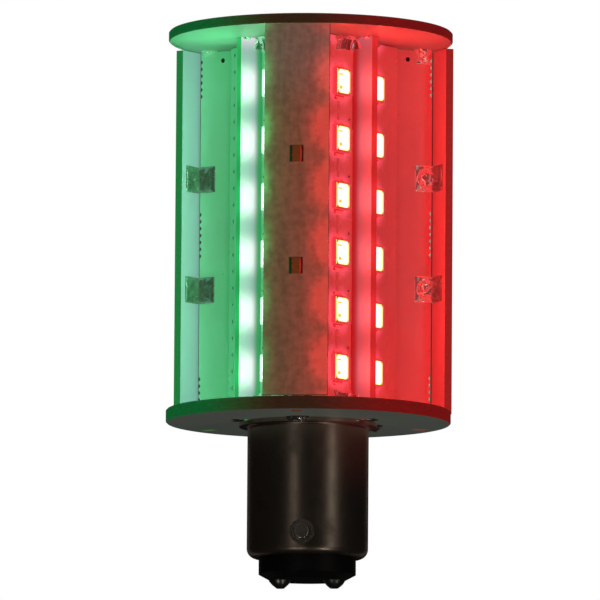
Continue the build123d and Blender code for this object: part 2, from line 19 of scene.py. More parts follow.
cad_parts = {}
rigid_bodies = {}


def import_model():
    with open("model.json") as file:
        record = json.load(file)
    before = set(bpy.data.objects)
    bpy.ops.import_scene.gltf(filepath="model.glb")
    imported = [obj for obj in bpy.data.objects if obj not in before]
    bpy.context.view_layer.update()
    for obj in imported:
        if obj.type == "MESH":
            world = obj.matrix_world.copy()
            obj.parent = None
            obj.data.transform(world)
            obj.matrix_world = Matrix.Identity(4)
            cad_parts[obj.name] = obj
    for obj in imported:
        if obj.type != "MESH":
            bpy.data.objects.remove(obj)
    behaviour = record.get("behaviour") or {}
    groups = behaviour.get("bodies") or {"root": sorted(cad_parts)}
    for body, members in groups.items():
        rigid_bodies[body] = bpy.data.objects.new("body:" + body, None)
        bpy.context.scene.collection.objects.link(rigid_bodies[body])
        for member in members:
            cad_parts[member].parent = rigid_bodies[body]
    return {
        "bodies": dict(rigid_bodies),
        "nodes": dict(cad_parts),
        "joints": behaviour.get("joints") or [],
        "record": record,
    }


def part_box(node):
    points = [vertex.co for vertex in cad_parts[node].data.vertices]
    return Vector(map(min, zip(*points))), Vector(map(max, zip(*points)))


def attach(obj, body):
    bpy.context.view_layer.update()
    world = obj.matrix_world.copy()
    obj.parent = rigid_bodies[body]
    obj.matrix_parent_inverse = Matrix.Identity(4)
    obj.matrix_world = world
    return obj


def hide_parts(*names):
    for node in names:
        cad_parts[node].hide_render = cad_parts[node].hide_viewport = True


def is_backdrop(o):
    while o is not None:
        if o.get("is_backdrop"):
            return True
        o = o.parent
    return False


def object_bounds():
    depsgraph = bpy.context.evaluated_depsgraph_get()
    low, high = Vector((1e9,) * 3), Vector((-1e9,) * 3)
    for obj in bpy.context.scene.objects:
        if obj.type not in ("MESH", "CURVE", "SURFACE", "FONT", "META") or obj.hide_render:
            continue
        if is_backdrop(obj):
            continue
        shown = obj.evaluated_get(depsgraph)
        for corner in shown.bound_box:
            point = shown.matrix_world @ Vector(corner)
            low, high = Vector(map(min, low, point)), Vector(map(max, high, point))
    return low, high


log = logging.getLogger("lamp")

MM = 0.001
UP = Vector((0, 0, 1))
ROWS_BELOW = 20.0  # whole rows added under the first LED, so that row counts stay positive

Colour = tuple[float, float, float]
Flat = tuple[float, float]
Outline = Callable[[float, float], Flat]
Relief = Callable[[float, float], float]

BLACK: Colour = (0.0, 0.0, 0.0)
LAMINATE: Colour = (0.085, 0.062, 0.034)
LAMINATE_PLY: Colour = (0.17, 0.125, 0.07)


def outward(azimuth: float) -> Vector:
    """Unit vector from the axis.

    Args:
        azimuth: Degrees from the bow, positive towards port.

    Returns:
        The level direction at that azimuth.
    """
    return Vector((math.sin(math.radians(azimuth)), -math.cos(math.radians(azimuth)), 0))


def sideways(azimuth: float) -> Vector:
    """Unit vector square to outward(), turning towards port from the bow.

    Args:
        azimuth: Degrees from the bow, positive towards port.

    Returns:
        The level direction of growing azimuth.
    """
    return Vector((math.cos(math.radians(azimuth)), math.sin(math.radians(azimuth)), 0))


# ---- sectors -----------------------------------------------------------------------------
@dataclass(frozen=True)
class SectorLight:
    """What the LEDs of one sector give off.

    Attributes:
        azimuth: Middle of the sector, degrees from the bow.
        colour: Light on the boards, strongest channel 1.
        radiance: Strength of that light at an LED's window.
        window: Emission of a window, seen directly.
        rim: Emission of the ring round a window.
        mark: Emission over the bonding marks.
        scatter: Light that leaks through a board's edge or a bare lip.
        fill: Light that bounces about between the boards.
        fin_glow: Light that comes through a fin everywhere.
        fin_bloom: Light added beside each LED of a fin.
        halo: Light added on the board round each LED.
        package: Light that comes out of an LED package's sides.
        veil: Light added on the inner face of a lip.
    """

    azimuth: float
    colour: Colour
    radiance: float
    window: Colour
    rim: Colour
    mark: Colour
    scatter: Colour
    fill: Colour
    fin_glow: Colour
    fin_bloom: Colour
    halo: Colour
    package: Colour
    veil: Colour


SECTORS: dict[str, SectorLight] = {
    "port": SectorLight(
        azimuth=60,
        colour=(1.0, 0.014, 0.022),
        radiance=46.0,
        window=(1.5, 1.4, 1.3),
        rim=(1.4, 1.0, 0.26),
        mark=(1.2, 0.68, 0.03),
        scatter=(0.58, 0.015, 0.017),
        fill=(0.42, 0.003, 0.006),
        fin_glow=(0.42, 0.056, 0.066),
        fin_bloom=(0.06, 0.036, 0.055),
        halo=(0.36, 0.045, 0.085),
        package=(0.55, 0.020, 0.026),
        veil=BLACK,
    ),
    "starboard": SectorLight(
        azimuth=-60,
        colour=(0.17, 1.0, 0.38),
        radiance=35.0,
        window=(1.4, 1.5, 1.4),
        rim=(0.55, 1.1, 0.75),
        mark=(1.0, 1.2, 1.0),
        scatter=(0.010, 0.36, 0.080),
        fill=(0.006, 0.262, 0.065),
        fin_glow=(0.25, 0.34, 0.35),
        fin_bloom=(0.50, 0.32, 0.40),
        halo=(0.20, 0.35, 0.25),
        package=(0.55, 0.90, 0.70),
        veil=(0.12, 0.0, 0.19),
    ),
    "stern": SectorLight(
        azimuth=180,
        colour=(1.0, 0.86, 0.66),
        radiance=22.0,
        window=(1.5, 1.45, 1.3),
        rim=(1.1, 0.95, 0.55),
        mark=(1.1, 0.85, 0.25),
        scatter=(0.34, 0.28, 0.19),
        fill=(0.26, 0.22, 0.165),
        fin_glow=(0.35, 0.31, 0.25),
        fin_bloom=(0.30, 0.28, 0.24),
        halo=(0.25, 0.22, 0.16),
        package=(0.50, 0.44, 0.34),
        veil=BLACK,
    ),
}
BAFFLES: dict[str, float] = {"bow": 0, "port": 120, "starboard": -120}
LIP_SIDES: dict[str, tuple[str, str]] = {
    "bow": ("starboard", "port"),
    "port": ("port", "stern"),
    "starboard": ("stern", "starboard"),
}
WINDOW_SLOTS: dict[str, str] = {
    "port": "red_window",
    "starboard": "green_window",
    "stern": "white_window",
}
LIP_SHADOWS: dict[str, Flat] = {
    "bow": (-0.2 * MM, 0.2 * MM),
    "port": (-0.2 * MM, 0.2 * MM),
    "starboard": (-1.1 * MM, 0.2 * MM),
}


# ---- shader graphs -------------------------------------------------------------------------
def _operator(operation: str, reflected: bool = False) -> Callable[..., "Channel"]:
    """Make a method of Channel that adds one Math node.

    Args:
        operation: The node's operation.
        reflected: Whether the other value comes first.

    Returns:
        The method.
    """

    def method(self: "Channel", other: "Value" = 0.0) -> "Channel":
        """Work the operation out on this value and another."""
        first, second = (other, self) if reflected else (self, other)
        return self.graph.node("ShaderNodeMath", {"operation": operation}, {0: first, 1: second})

    return method


class Channel:
    """A shader node's output that arithmetic can be written on.

    ping_pong(span) climbs to span and falls back to 0, over(other) is the larger of two values,
    and turn_from(ahead) is the angle of the point whose parts are ahead and this value.
    """

    def __init__(self, graph: "Graph", socket: bpy.types.NodeSocket) -> None:
        """Wrap one output socket of a graph."""
        self.graph = graph
        self.socket = socket

    __add__, __radd__ = _operator("ADD"), _operator("ADD", True)
    __sub__, __rsub__ = _operator("SUBTRACT"), _operator("SUBTRACT", True)
    __mul__, __rmul__ = _operator("MULTIPLY"), _operator("MULTIPLY", True)
    __pow__, __rpow__ = _operator("POWER"), _operator("POWER", True)
    __truediv__ = _operator("DIVIDE")
    __abs__ = _operator("ABSOLUTE")
    ping_pong = _operator("PINGPONG")
    over = _operator("MAXIMUM")
    turn_from = _operator("ARCTAN2")


Value = Channel | float


class Graph:
    """The node tree of one material, written as expressions."""

    def __init__(self, name: str) -> None:
        """Start an empty material.

        Args:
            name: The material's name.
        """
        self.material = bpy.data.materials.new(name)
        self.material.use_nodes = True
        self.tree = self.material.node_tree
        self.tree.nodes.clear()

    def node(
        self,
        kind: str,
        settings: dict[str, object] | None = None,
        inputs: dict[str | int, object] | None = None,
        output: str | int = 0,
    ) -> Channel:
        """Add one node.

        Args:
            kind: The node's type.
            settings: Properties, set first.
            inputs: Values or channels, by the socket's name or number.
            output: Which output to return.

        Returns:
            The chosen output.
        """
        made = self.tree.nodes.new(kind)
        for name, value in (settings or {}).items():
            setattr(made, name, value)
        for name, value in (inputs or {}).items():
            if isinstance(value, Channel):
                self.tree.links.new(value.socket, made.inputs[name])
            else:
                made.inputs[name].default_value = value
        return Channel(self, made.outputs[output])

    def position(self) -> Channel:
        """Place of the shaded point in the lamp's frame."""
        return self.node("ShaderNodeTexCoord", output="Object")

    def normal(self) -> Channel:
        """Direction that the surface faces, in the lamp's frame."""
        return self.node("ShaderNodeNewGeometry", output="Normal")

    def along(self, vector: Channel, direction: Vector) -> Channel:
        """How far a vector reaches along a direction."""
        settings = {"operation": "DOT_PRODUCT"}
        inputs = {0: vector, 1: tuple(direction)}
        return self.node("ShaderNodeVectorMath", settings, inputs, "Value")

    def stretch(self, vector: Channel, factors: Sequence[float]) -> Channel:
        """A vector with each part multiplied by its factor."""
        settings = {"operation": "MULTIPLY"}
        return self.node("ShaderNodeVectorMath", settings, {0: vector, 1: tuple(factors)})

    def mix(self, factor: Value, first: object, second: object, blend: str = "MIX") -> Channel:
        """Blend two colours.

        Args:
            factor: Share of the second colour.
            first: Colour or channel.
            second: Colour or channel.
            blend: The Mix node's blend type.

        Returns:
            The blended colour.
        """
        settings = {"data_type": "RGBA", "blend_type": blend, "clamp_factor": True}
        first, second = (c if isinstance(c, Channel) else (*c, 1) for c in (first, second))
        return self.node("ShaderNodeMix", settings, {0: factor, 6: first, 7: second}, 2)

    def scale(self, colour: Channel, share: Channel, low: float, high: float) -> Channel:
        """Multiply a colour by a factor between low and high.

        Args:
            colour: The colour.
            share: 0 for the low factor and 1 for the high one.
            low: First factor.
            high: Second factor.

        Returns:
            The changed colour.
        """
        return self.mix(1.0, colour, self.mix(share, (low,) * 3, (high,) * 3), "MULTIPLY")

    def ease(self, value: Value, low: float, high: float) -> Channel:
        """0 below low, 1 above high, and a smooth step between."""
        settings = {"interpolation_type": "SMOOTHSTEP"}
        inputs = {0: value, 1: low, 2: high, 3: 0.0, 4: 1.0}
        return self.node("ShaderNodeMapRange", settings, inputs)

    def cloud(
        self, feature: float, detail: float = 3.0, stretch: Sequence[float] | None = None
    ) -> Channel:
        """Soft noise.

        Args:
            feature: Size of one blot, in metres.
            detail: How many finer layers are on it.
            stretch: Factors on the three axes, if the blots aren't round.

        Returns:
            A value about 0.5.
        """
        place = self.position()
        if stretch:
            place = self.stretch(place, stretch)
        inputs = {"Vector": place, "Scale": 1 / feature, "Detail": detail}
        return self.node("ShaderNodeTexNoise", inputs=inputs, output="Fac")

    def plies(self) -> Channel:
        """Fine level layers of glass cloth, as a routed edge shows them."""
        return self.cloud(0.16 * MM, 2, (0.2, 0.2, 1.0))

    def from_row(self, first: float, pitch: float) -> Channel:
        """How far a point is above or below the nearest row of LEDs.

        Args:
            first: Height of the lowest row.
            pitch: Rise from row to row.

        Returns:
            The distance in pitches, from 0 to 0.5.
        """
        rise = (self.along(self.position(), UP) - first) / pitch
        return (rise + ROWS_BELOW).ping_pong(0.5)

    def specks(self, spacing: float, size: float) -> Channel:
        """Scattered round specks.

        Args:
            spacing: Distance from one to the next, in metres.
            size: Radius of a speck as a share of the spacing.

        Returns:
            1 on a speck and 0 elsewhere.
        """
        inputs = {"Vector": self.position(), "Scale": 1 / spacing}
        distance = self.node("ShaderNodeTexVoronoi", inputs=inputs, output="Distance")
        return 1 - self.ease(distance, size * 0.5, size)

    def weave(self, pitch: float, across: Vector) -> Channel:
        """Glass-cloth weave as two crossed sets of threads.

        Args:
            pitch: Distance from thread to thread, in metres.
            across: Level direction of the weft.

        Returns:
            Height of the cloth, from 0 to 1.
        """
        place = self.position()
        weft = (self.along(place, across) / pitch).ping_pong(0.5)
        warp = (self.along(place, UP) / pitch).ping_pong(0.5)
        return weft + warp

    def bump(self, height: Value, depth: float, strength: float = 0.5) -> Channel:
        """A bumped normal.

        Args:
            height: Relief, from 0 to 1.
            depth: Depth of the relief in metres.
            strength: Share of it that shows.

        Returns:
            The normal for a shader.
        """
        inputs = {"Strength": strength, "Distance": depth, "Height": height}
        return self.node("ShaderNodeBump", inputs=inputs)

    def surface(self, **inputs: object) -> bpy.types.Material:
        """Finish the material with one Principled shader.

        Args:
            **inputs: The shader's sockets, with an underscore for each space in a name;
                Emission_Strength is 1 if it isn't given.

        Returns:
            The material.
        """
        named = {"Emission Strength": 1.0}
        named |= {name.replace("_", " "): value for name, value in inputs.items()}
        for name in ("Base Color", "Emission Color"):
            if isinstance(named.get(name), tuple):
                named[name] = (*named[name], 1)
        return self.close(self.node("ShaderNodeBsdfPrincipled", inputs=named))

    def close(self, shader: Channel) -> bpy.types.Material:
        """Link a shader to the material's output.

        Args:
            shader: The shader's output.

        Returns:
            The material.
        """
        end = self.tree.nodes.new("ShaderNodeOutputMaterial")
        self.tree.links.new(shader.socket, end.inputs["Surface"])
        return self.material


class SectorField:
    """Colours that change with azimuth round the lamp, from one sector's light to the next."""

    def __init__(self, graph: Graph) -> None:
        """Measure the azimuth of the shaded point.

        Args:
            graph: The material's graph.
        """
        self.graph = graph
        place = graph.position()
        across = graph.along(place, sideways(0))
        ahead = graph.along(place, outward(0))
        self.azimuth = across.turn_from(ahead)

    def blend(self, dark: Colour, port: Colour, starboard: Colour, stern: Colour) -> Channel:
        """Colours round the lamp.

        Args:
            dark: Colour at the bow, where neither side light reaches.
            port: Colour over the port sector.
            starboard: Colour over the starboard sector.
            stern: Colour over the stern sector.

        Returns:
            The colour at the shaded point.
        """
        graph = self.graph
        result = graph.mix(graph.ease(self.azimuth, 0.02, 0.75), dark, port)
        result = graph.mix(graph.ease(0.0 - self.azimuth, 0.10, 0.80), result, starboard)
        return graph.mix(graph.ease(abs(self.azimuth), 1.95, 2.35), result, stern)

    def leak(self, dark: Colour, level: float = 1.0) -> Channel:
        """Light that leaks out of a board's edge round the lamp.

        Args:
            dark: Colour at the bow.
            level: Strength of the sectors' scattered light.

        Returns:
            The colour at the shaded point.
        """
        scatters = (tuple(level * part for part in light.scatter) for light in SECTORS.values())
        return self.blend(dark, *scatters)


class Fill(Enum):
    """What bounced light one face of a board gives back."""

    NONE = "none"
    PORT = "port"
    STARBOARD = "starboard"
    STERN = "stern"
    ROUND = "round"
    UNDER = "under"

    def colour(self, graph: Graph) -> Channel | Colour:
        """The light in a material's graph."""
        if self is Fill.NONE:
            return BLACK
        if self is Fill.UNDER:
            return (0.030, 0.036, 0.029)
        if self is Fill.ROUND:
            fills = [tuple(0.25 * part for part in light.fill) for light in SECTORS.values()]
            ahead = tuple(0.5 * (a + b) for a, b in zip(*fills[:2]))
            return SectorField(graph).blend(ahead, *fills)
        return SECTORS[self.value].fill


# ---- finishes --------------------------------------------------------------------------------
@dataclass(frozen=True)
class MaskedBoard:
    """White solder mask on both faces of a routed glass-epoxy board.

    Attributes:
        name: The material's name.
        face: Direction square to the board's faces.
        mask: Colour of the mask.
        laminate: Colour of the routed edge.
        glow: Strength of the light that leaks out of the edge.
        dark: Colour that leaks out of the edge at the bow.
        minus: Bounced light on the face that looks against the face direction.
        plus: Bounced light on the face that looks along it.
    """

    name: str
    face: Vector
    mask: Colour = (0.79, 0.79, 0.765)
    laminate: Colour = (0.034, 0.018, 0.009)
    glow: float = 0.42
    dark: Colour = (0.030, 0.012, 0.006)
    minus: Fill = Fill.NONE
    plus: Fill = Fill.NONE

    def bloom(self, graph: Graph, fill: Channel) -> Channel:
        """Change the bounced light near bright things; a plain board leaves it alone."""
        return fill

    def material(self) -> bpy.types.Material:
        """Build the board's material."""
        graph = Graph(self.name)
        facing = graph.along(graph.normal(), self.face)
        on_face = graph.ease(abs(facing), 0.7, 0.8)
        grime = graph.cloud(6 * MM, 4)
        flux = graph.ease(graph.cloud(1.4 * MM, 5), 0.52, 0.75)
        dots = graph.specks(2.1 * MM, 0.055)
        mask = graph.mix(grime * 0.30, self.mask, tuple(0.74 * part for part in self.mask))
        mask = graph.mix(flux * 0.16, mask, (0.52, 0.45, 0.33))
        mask = graph.mix(dots * 0.5, mask, (0.16, 0.13, 0.10))
        plies = graph.plies()
        edge = graph.mix(plies, self.laminate, tuple(2.1 * part for part in self.laminate))
        leak = graph.scale(SectorField(graph).leak(self.dark, self.glow), plies, 0.55, 1.25)
        side = graph.ease(facing, -0.1, 0.1)
        fill = graph.mix(side, self.minus.colour(graph), self.plus.colour(graph))
        fill = graph.scale(fill, grime, 1.12, 0.86)
        relief = graph.mix(on_face, plies * 0.9, graph.cloud(0.5 * MM, 3))
        return graph.surface(
            Base_Color=graph.mix(on_face, edge, mask),
            Roughness=0.62 - on_face * 0.30 + grime * 0.14,
            Specular_IOR_Level=0.30,
            Emission_Color=graph.mix(on_face, leak, self.bloom(graph, fill)),
            Normal=graph.bump(relief, 0.03 * MM, 0.35),
        )


@dataclass(frozen=True)
class LedBoardMask(MaskedBoard):
    """White mask of an LED board, brighter round each LED.

    Attributes:
        across: Direction along the board's width.
        column: Distance of an LED column from the board's middle.
        first: Height of the lowest LED.
        pitch: Rise from LED to LED.
        size: Width and length of an LED.
        halo: Light added at an LED's edge.
    """

    across: Vector = UP
    column: float = 0.0
    first: float = 0.0
    pitch: float = 1.0
    size: Flat = (0.0, 0.0)
    halo: Colour = BLACK

    def bloom(self, graph: Graph, fill: Channel) -> Channel:
        """Add the halo to the bounced light."""
        across = abs(graph.along(graph.position(), self.across))
        aside = abs(across - self.column) - self.size[0] / 2
        beyond = graph.from_row(self.first, self.pitch) * self.pitch - self.size[1] / 2
        gap = aside.over(0.0) + beyond.over(0.0)
        near = (1 - graph.ease(gap, 0.0, 2.3 * MM)) ** 2.0
        return graph.mix(near, fill, self.halo, "ADD")


@dataclass(frozen=True)
class LitFin:
    """White-masked fin between two LED columns, with light coming through it beside each LED.

    Attributes:
        name: The material's name.
        azimuth: Azimuth of the fin, in degrees.
        first: Height of the lowest LED.
        pitch: Rise from LED to LED.
        root: Radius of the LED board's face.
        light: The sector's light.
    """

    name: str
    azimuth: float
    first: float
    pitch: float
    root: float
    light: SectorLight

    def material(self) -> bpy.types.Material:
        """Build the fin's material."""
        graph = Graph(self.name)
        place = graph.position()
        on_face = graph.ease(abs(graph.along(graph.normal(), sideways(self.azimuth))), 0.7, 0.8)
        beside = 1 - graph.ease(graph.from_row(self.first, self.pitch), 0.10, 0.46)
        reach = graph.along(place, outward(self.azimuth)) - self.root
        proud = graph.ease(reach, 0.35 * MM, 1.2 * MM)
        fibres = graph.cloud(0.9 * MM, 4, (1.0, 1.0, 0.35))
        plies = graph.plies()
        patch = beside * proud * (0.72 + fibres * 0.5)
        root_glow = tuple(0.9 * part for part in self.light.fill)
        face_glow = graph.mix(proud, root_glow, self.light.fin_glow)
        face_glow = graph.mix(patch, face_glow, self.light.fin_bloom, "ADD")
        bright = tuple(1.9 * part for part in self.light.scatter)
        edge_glow = graph.mix(beside * fibres, self.light.scatter, bright)
        mask = graph.mix(fibres * 0.5, (0.22, 0.22, 0.21), (0.18, 0.175, 0.165))
        edge = graph.mix(plies, LAMINATE, LAMINATE_PLY)
        return graph.surface(
            Base_Color=graph.mix(on_face, edge, mask),
            Roughness=0.60 - on_face * 0.28 + fibres * 0.12,
            Specular_IOR_Level=0.45,
            Emission_Color=graph.mix(on_face, edge_glow, face_glow),
            Normal=graph.bump(graph.mix(on_face, plies, fibres), 0.03 * MM, 0.35),
        )


@dataclass(frozen=True)
class BareLip:
    """Lip with white mask inside and bare, faintly translucent laminate outside, with painted light
    and shade on both faces.

    Attributes:
        name: The material's name.
        azimuth: Azimuth of the lip, in degrees.
        half: Half of the lip's width.
        first: Height of the lowest LED.
        pitch: Rise from LED to LED.
        top: Height of the lip's upper end.
        shadow: Ends of the dark strip behind the baffle's edge, across the lip.
        minus: Light on the side of lower azimuth.
        plus: Light on the side of higher azimuth.
    """

    name: str
    azimuth: float
    half: float
    first: float
    pitch: float
    top: float
    shadow: Flat
    minus: SectorLight
    plus: SectorLight

    @staticmethod
    def _leak(graph: Graph, inset: Channel, fall: float, rows: Channel) -> Channel:
        """Light that comes through near one side.

        Args:
            graph: The finish's node tree.
            inset: Distance from that side.
            fall: Distance over which it fades to a third.
            rows: 1 beside each LED and 0 half way between.

        Returns:
            The share of the light at the shaded point.
        """
        fade = (1 / 3) ** (inset.over(0.0) / fall)
        near = 1 - graph.ease(inset, 0.0, 1.1 * fall)
        return fade * (0.68 + rows * near * 1.5)

    def material(self) -> bpy.types.Material:
        """Build the lip's material."""
        graph = Graph(self.name)
        place = graph.position()
        facing = graph.along(graph.normal(), outward(self.azimuth))
        outside = graph.ease(facing, 0.6, 0.8)
        inside = graph.ease(0.0 - facing, 0.6, 0.8)
        across = graph.along(place, sideways(self.azimuth))
        height = graph.along(place, UP)
        rows = 1 - graph.ease(graph.from_row(self.first, self.pitch), 0.05, 0.5)
        weave = graph.weave(0.62 * MM, sideways(self.azimuth))
        blots = graph.cloud(0.85 * MM, 5)
        streaks = graph.cloud(1.1 * MM, 3, (1.0, 1.0, 0.22))
        head = graph.ease(height, self.top - 13 * MM, self.top - 3 * MM)
        resin = graph.mix(blots, (0.20, 0.16, 0.11), (0.30, 0.25, 0.18))
        resin = graph.mix(weave * 0.35, resin, (0.13, 0.105, 0.075))
        resin = graph.mix(graph.specks(0.8 * MM, 0.10) * 0.5, resin, (0.085, 0.065, 0.045))
        mottle = graph.ease(blots * 0.6 + streaks * 0.4, 0.30, 0.66) * 0.5 + 0.72
        minus = self._leak(graph, across + self.half, 1.5 * MM, rows)
        plus = self._leak(graph, self.half - across, 3.3 * MM, rows)
        shade = (1 - head * 0.55) * mottle
        # Painted ambient light on the outside face: a dim brown glow, lighter near the top and
        # mottled, to which the leaks are added.
        painted_ambient = graph.mix(head, (0.056, 0.030, 0.017), (0.078, 0.048, 0.036))
        painted_ambient = graph.scale(painted_ambient, mottle - 0.3, 0.5, 1.5)
        low_fade = graph.ease(height, self.first, self.top) * 0.6 + 0.4
        leak = graph.mix(minus * shade * low_fade * 0.70, painted_ambient, self.minus.scatter, "ADD")
        plus_light = tuple(0.92 * part for part in self.plus.scatter)
        leak = graph.mix(plus * shade, leak, plus_light, "ADD")
        plies = graph.plies()
        edge = graph.mix(plies, LAMINATE, LAMINATE_PLY)
        edge_glow = SectorField(graph).leak((0.02, 0.02, 0.01), 0.50)
        grime = graph.cloud(6 * MM, 4)
        mask = graph.mix(grime * 0.3, (0.42, 0.42, 0.41), (0.35, 0.34, 0.325))
        glow = graph.mix(outside, edge_glow, leak)
        sides = (self.minus, self.plus)
        lit = (tuple(a + b for a, b in zip(side.fill, side.veil)) for side in sides)
        bounced = graph.mix(graph.ease(across, -0.1 * MM, 0.1 * MM), *lit)
        low, high = self.shadow
        soft = 0.06 * MM
        left, right = (graph.ease(across, end - soft, end + soft) for end in (low, high))
        shadow = left * (1 - right)
        bounced = graph.mix(shadow * 0.80, bounced, BLACK)
        mask = graph.mix(shadow * 0.9, mask, (0.03, 0.02, 0.015))
        return graph.surface(
            Base_Color=graph.mix(inside, graph.mix(outside, edge, resin), mask),
            Roughness=0.44 + blots * 0.22,
            Specular_IOR_Level=0.5,
            Emission_Color=graph.mix(inside, glow, bounced),
            Normal=graph.bump(weave * 0.6 + blots * 0.4, 0.03 * MM, 0.4),
        )


class Metal(Enum):
    """Named metals: colour, roughness, relief feature and depth in metres, and metallic share."""

    CAP = ((0.60, 0.49, 0.40), 0.25, 0.35 * MM, 0.004 * MM, 1.0)
    PIN = ((0.88, 0.80, 0.70), 0.20, 0.5 * MM, 0.004 * MM, 1.0)
    SOLDER = ((0.90, 0.89, 0.87), 0.05, 0.55 * MM, 0.012 * MM, 0.90)
    TINNED = ((0.40, 0.39, 0.37), 0.20, 0.40 * MM, 0.030 * MM, 0.70)
    CONTACT = ((0.34, 0.33, 0.32), 0.26, 0.5 * MM, 0.040 * MM, 1.0)
    CAN = ((0.78, 0.78, 0.79), 0.22, 0.2 * MM, 0.004 * MM, 1.0)
    COPPER = ((0.78, 0.36, 0.20), 0.28, 0.3 * MM, 0.010 * MM, 1.0)


@dataclass(frozen=True)
class MetalFinish:
    """Worn metal with cloudy oxide, drawn marks and fine pits.

    Attributes:
        metal: Which metal.
        drawn: Factors that stretch the drawing marks along the axes.
        tarnish: Colour of the oxide.
        worn: Share of the surface that has it.
        glow: Coloured light that it gives back from all round.
        suffix: Ending of the material's name.
    """

    metal: Metal
    drawn: tuple[float, float, float] = (1.0, 1.0, 1.0)
    tarnish: Colour = (0.10, 0.085, 0.07)
    worn: float = 0.35
    glow: Colour = BLACK
    suffix: str = ""

    def glow_light(self, graph: Graph) -> Channel | Colour:
        """The coloured light in a material's graph."""
        return self.glow

    def material(self) -> bpy.types.Material:
        """Build the metal's material."""
        colour, roughness, feature, depth, metallic = self.metal.value
        graph = Graph(f"{self.metal.name.lower()}_metal{self.suffix}")
        marks = graph.cloud(feature, 4, self.drawn)
        oxide = graph.ease(graph.cloud(2.6 * MM, 5), 0.45, 0.72)
        pits = graph.specks(0.9 * MM, 0.07)
        base = graph.mix(oxide * self.worn, colour, self.tarnish)
        base = graph.mix(pits * 0.4, base, self.tarnish)
        return graph.surface(
            Base_Color=base,
            Metallic=metallic - pits * 0.3,
            Roughness=roughness + marks * 0.10 + oxide * 0.10,
            Emission_Color=self.glow_light(graph),
            Normal=graph.bump(marks + pits * 0.4, depth, 0.5),
        )


@dataclass(frozen=True)
class CapFinish(MetalFinish):
    """Plating of the cap's shell, which picks up a little of the port light near its top.

    Attributes:
        top: Height of the shell's top.
        fade: How far down the port light reaches.
        cast: The port light at the top.
    """

    top: float = 0.0
    fade: float = 11 * MM
    cast: Colour = (0.022, 0.0022, 0.0018)

    def glow_light(self, graph: Graph) -> Channel:
        """Red cast that fades down the shell."""
        cast = SectorField(graph).blend(BLACK, self.cast, BLACK, BLACK)
        fade = graph.ease(graph.along(graph.position(), UP), self.top - self.fade, self.top)
        return graph.mix(fade, BLACK, cast)


@dataclass(frozen=True)
class JointFinish(MetalFinish):
    """Solder between the boards, which gives back its sector's light.

    Attributes:
        share: How much of that light it gives back.
        pale: White light that it gives back.
    """

    share: float = 0.0
    pale: float = 0.0

    def glow_light(self, graph: Graph) -> Channel:
        """The light of the sector that a point lies in."""
        lights = SECTORS.values()
        fills = (tuple(self.share * part + self.pale for part in light.fill) for light in lights)
        return SectorField(graph).blend(BLACK, *fills)


class Moulded(Enum):
    """Named plastics and ceramics: colour, roughness and relief depth in metres."""

    INSULATOR = ((0.012, 0.012, 0.012), 0.42, 0.020 * MM)
    CHIP = ((0.018, 0.018, 0.020), 0.50, 0.010 * MM)
    FERRITE = ((0.045, 0.043, 0.042), 0.62, 0.030 * MM)
    CERAMIC = ((0.46, 0.36, 0.24), 0.40, 0.008 * MM)
    RESISTOR = ((0.030, 0.030, 0.034), 0.30, 0.006 * MM)
    LEAD_RED = ((0.42, 0.020, 0.018), 0.40, 0.010 * MM)
    LEAD_BLACK = ((0.020, 0.020, 0.022), 0.40, 0.010 * MM)
    VIA = ((0.030, 0.022, 0.016), 0.40, 0.006 * MM)
    LED_PLASTIC = ((0.50, 0.49, 0.46), 0.38, 0.006 * MM)


@dataclass(frozen=True)
class MouldedFinish:
    """Moulded or fired material with mould grain, dust and rubbed spots.

    Attributes:
        kind: Which material.
        dust: Colour of dust and rubbed spots.
        glow: Light that leaks out of it.
        suffix: Ending of the material's name, where a kind has several.
    """

    kind: Moulded
    dust: Colour = (0.22, 0.20, 0.18)
    glow: Colour = BLACK
    suffix: str = ""

    def material(self) -> bpy.types.Material:
        """Build the material."""
        colour, roughness, depth = self.kind.value
        graph = Graph(f"{self.kind.name.lower()}{self.suffix}")
        grain = graph.cloud(0.30 * MM, 4)
        rubbed = graph.ease(graph.cloud(1.8 * MM, 5), 0.56, 0.76)
        specks = graph.specks(1.1 * MM, 0.06)
        base = graph.mix(rubbed * 0.10 + specks * 0.35, colour, self.dust)
        return graph.surface(
            Base_Color=base,
            Roughness=roughness + grain * 0.14 + rubbed * 0.10,
            Emission_Color=self.glow,
            Normal=graph.bump(grain, depth, 0.5),
        )


@dataclass(frozen=True)
class Glowing:
    """Surface that gives off light, a little uneven.

    Attributes:
        name: The material's name.
        colour: What it gives off.
        unevenness: Share that the light changes by over the surface.
    """

    name: str
    colour: Colour
    unevenness: float = 0.12

    def material(self) -> bpy.types.Material:
        """Build the material."""
        graph = Graph(self.name)
        patches = graph.cloud(0.8 * MM, 2)
        dimmer = tuple((1 - self.unevenness) * part for part in self.colour)
        return graph.surface(
            Base_Color=(0.7, 0.68, 0.6),
            Roughness=0.15 + patches * 0.1,
            Emission_Color=graph.mix(patches, self.colour, dimmer),
            Normal=graph.bump(patches, 0.01 * MM, 0.2),
        )


# ---- mesh building ---------------------------------------------------------------------------
@dataclass(frozen=True)
class Seat:
    """Local frame on a face of the lamp.

    Attributes:
        origin: Where the frame sits.
        across: Local x.
        up: Local y.
        out: Local z, away from the face.
    """

    origin: Vector
    across: Vector
    up: Vector
    out: Vector

    def at(self, x: float, y: float, z: float = 0.0) -> Vector:
        """The point at local x, y and z."""
        return self.origin + self.across * x + self.up * y + self.out * z


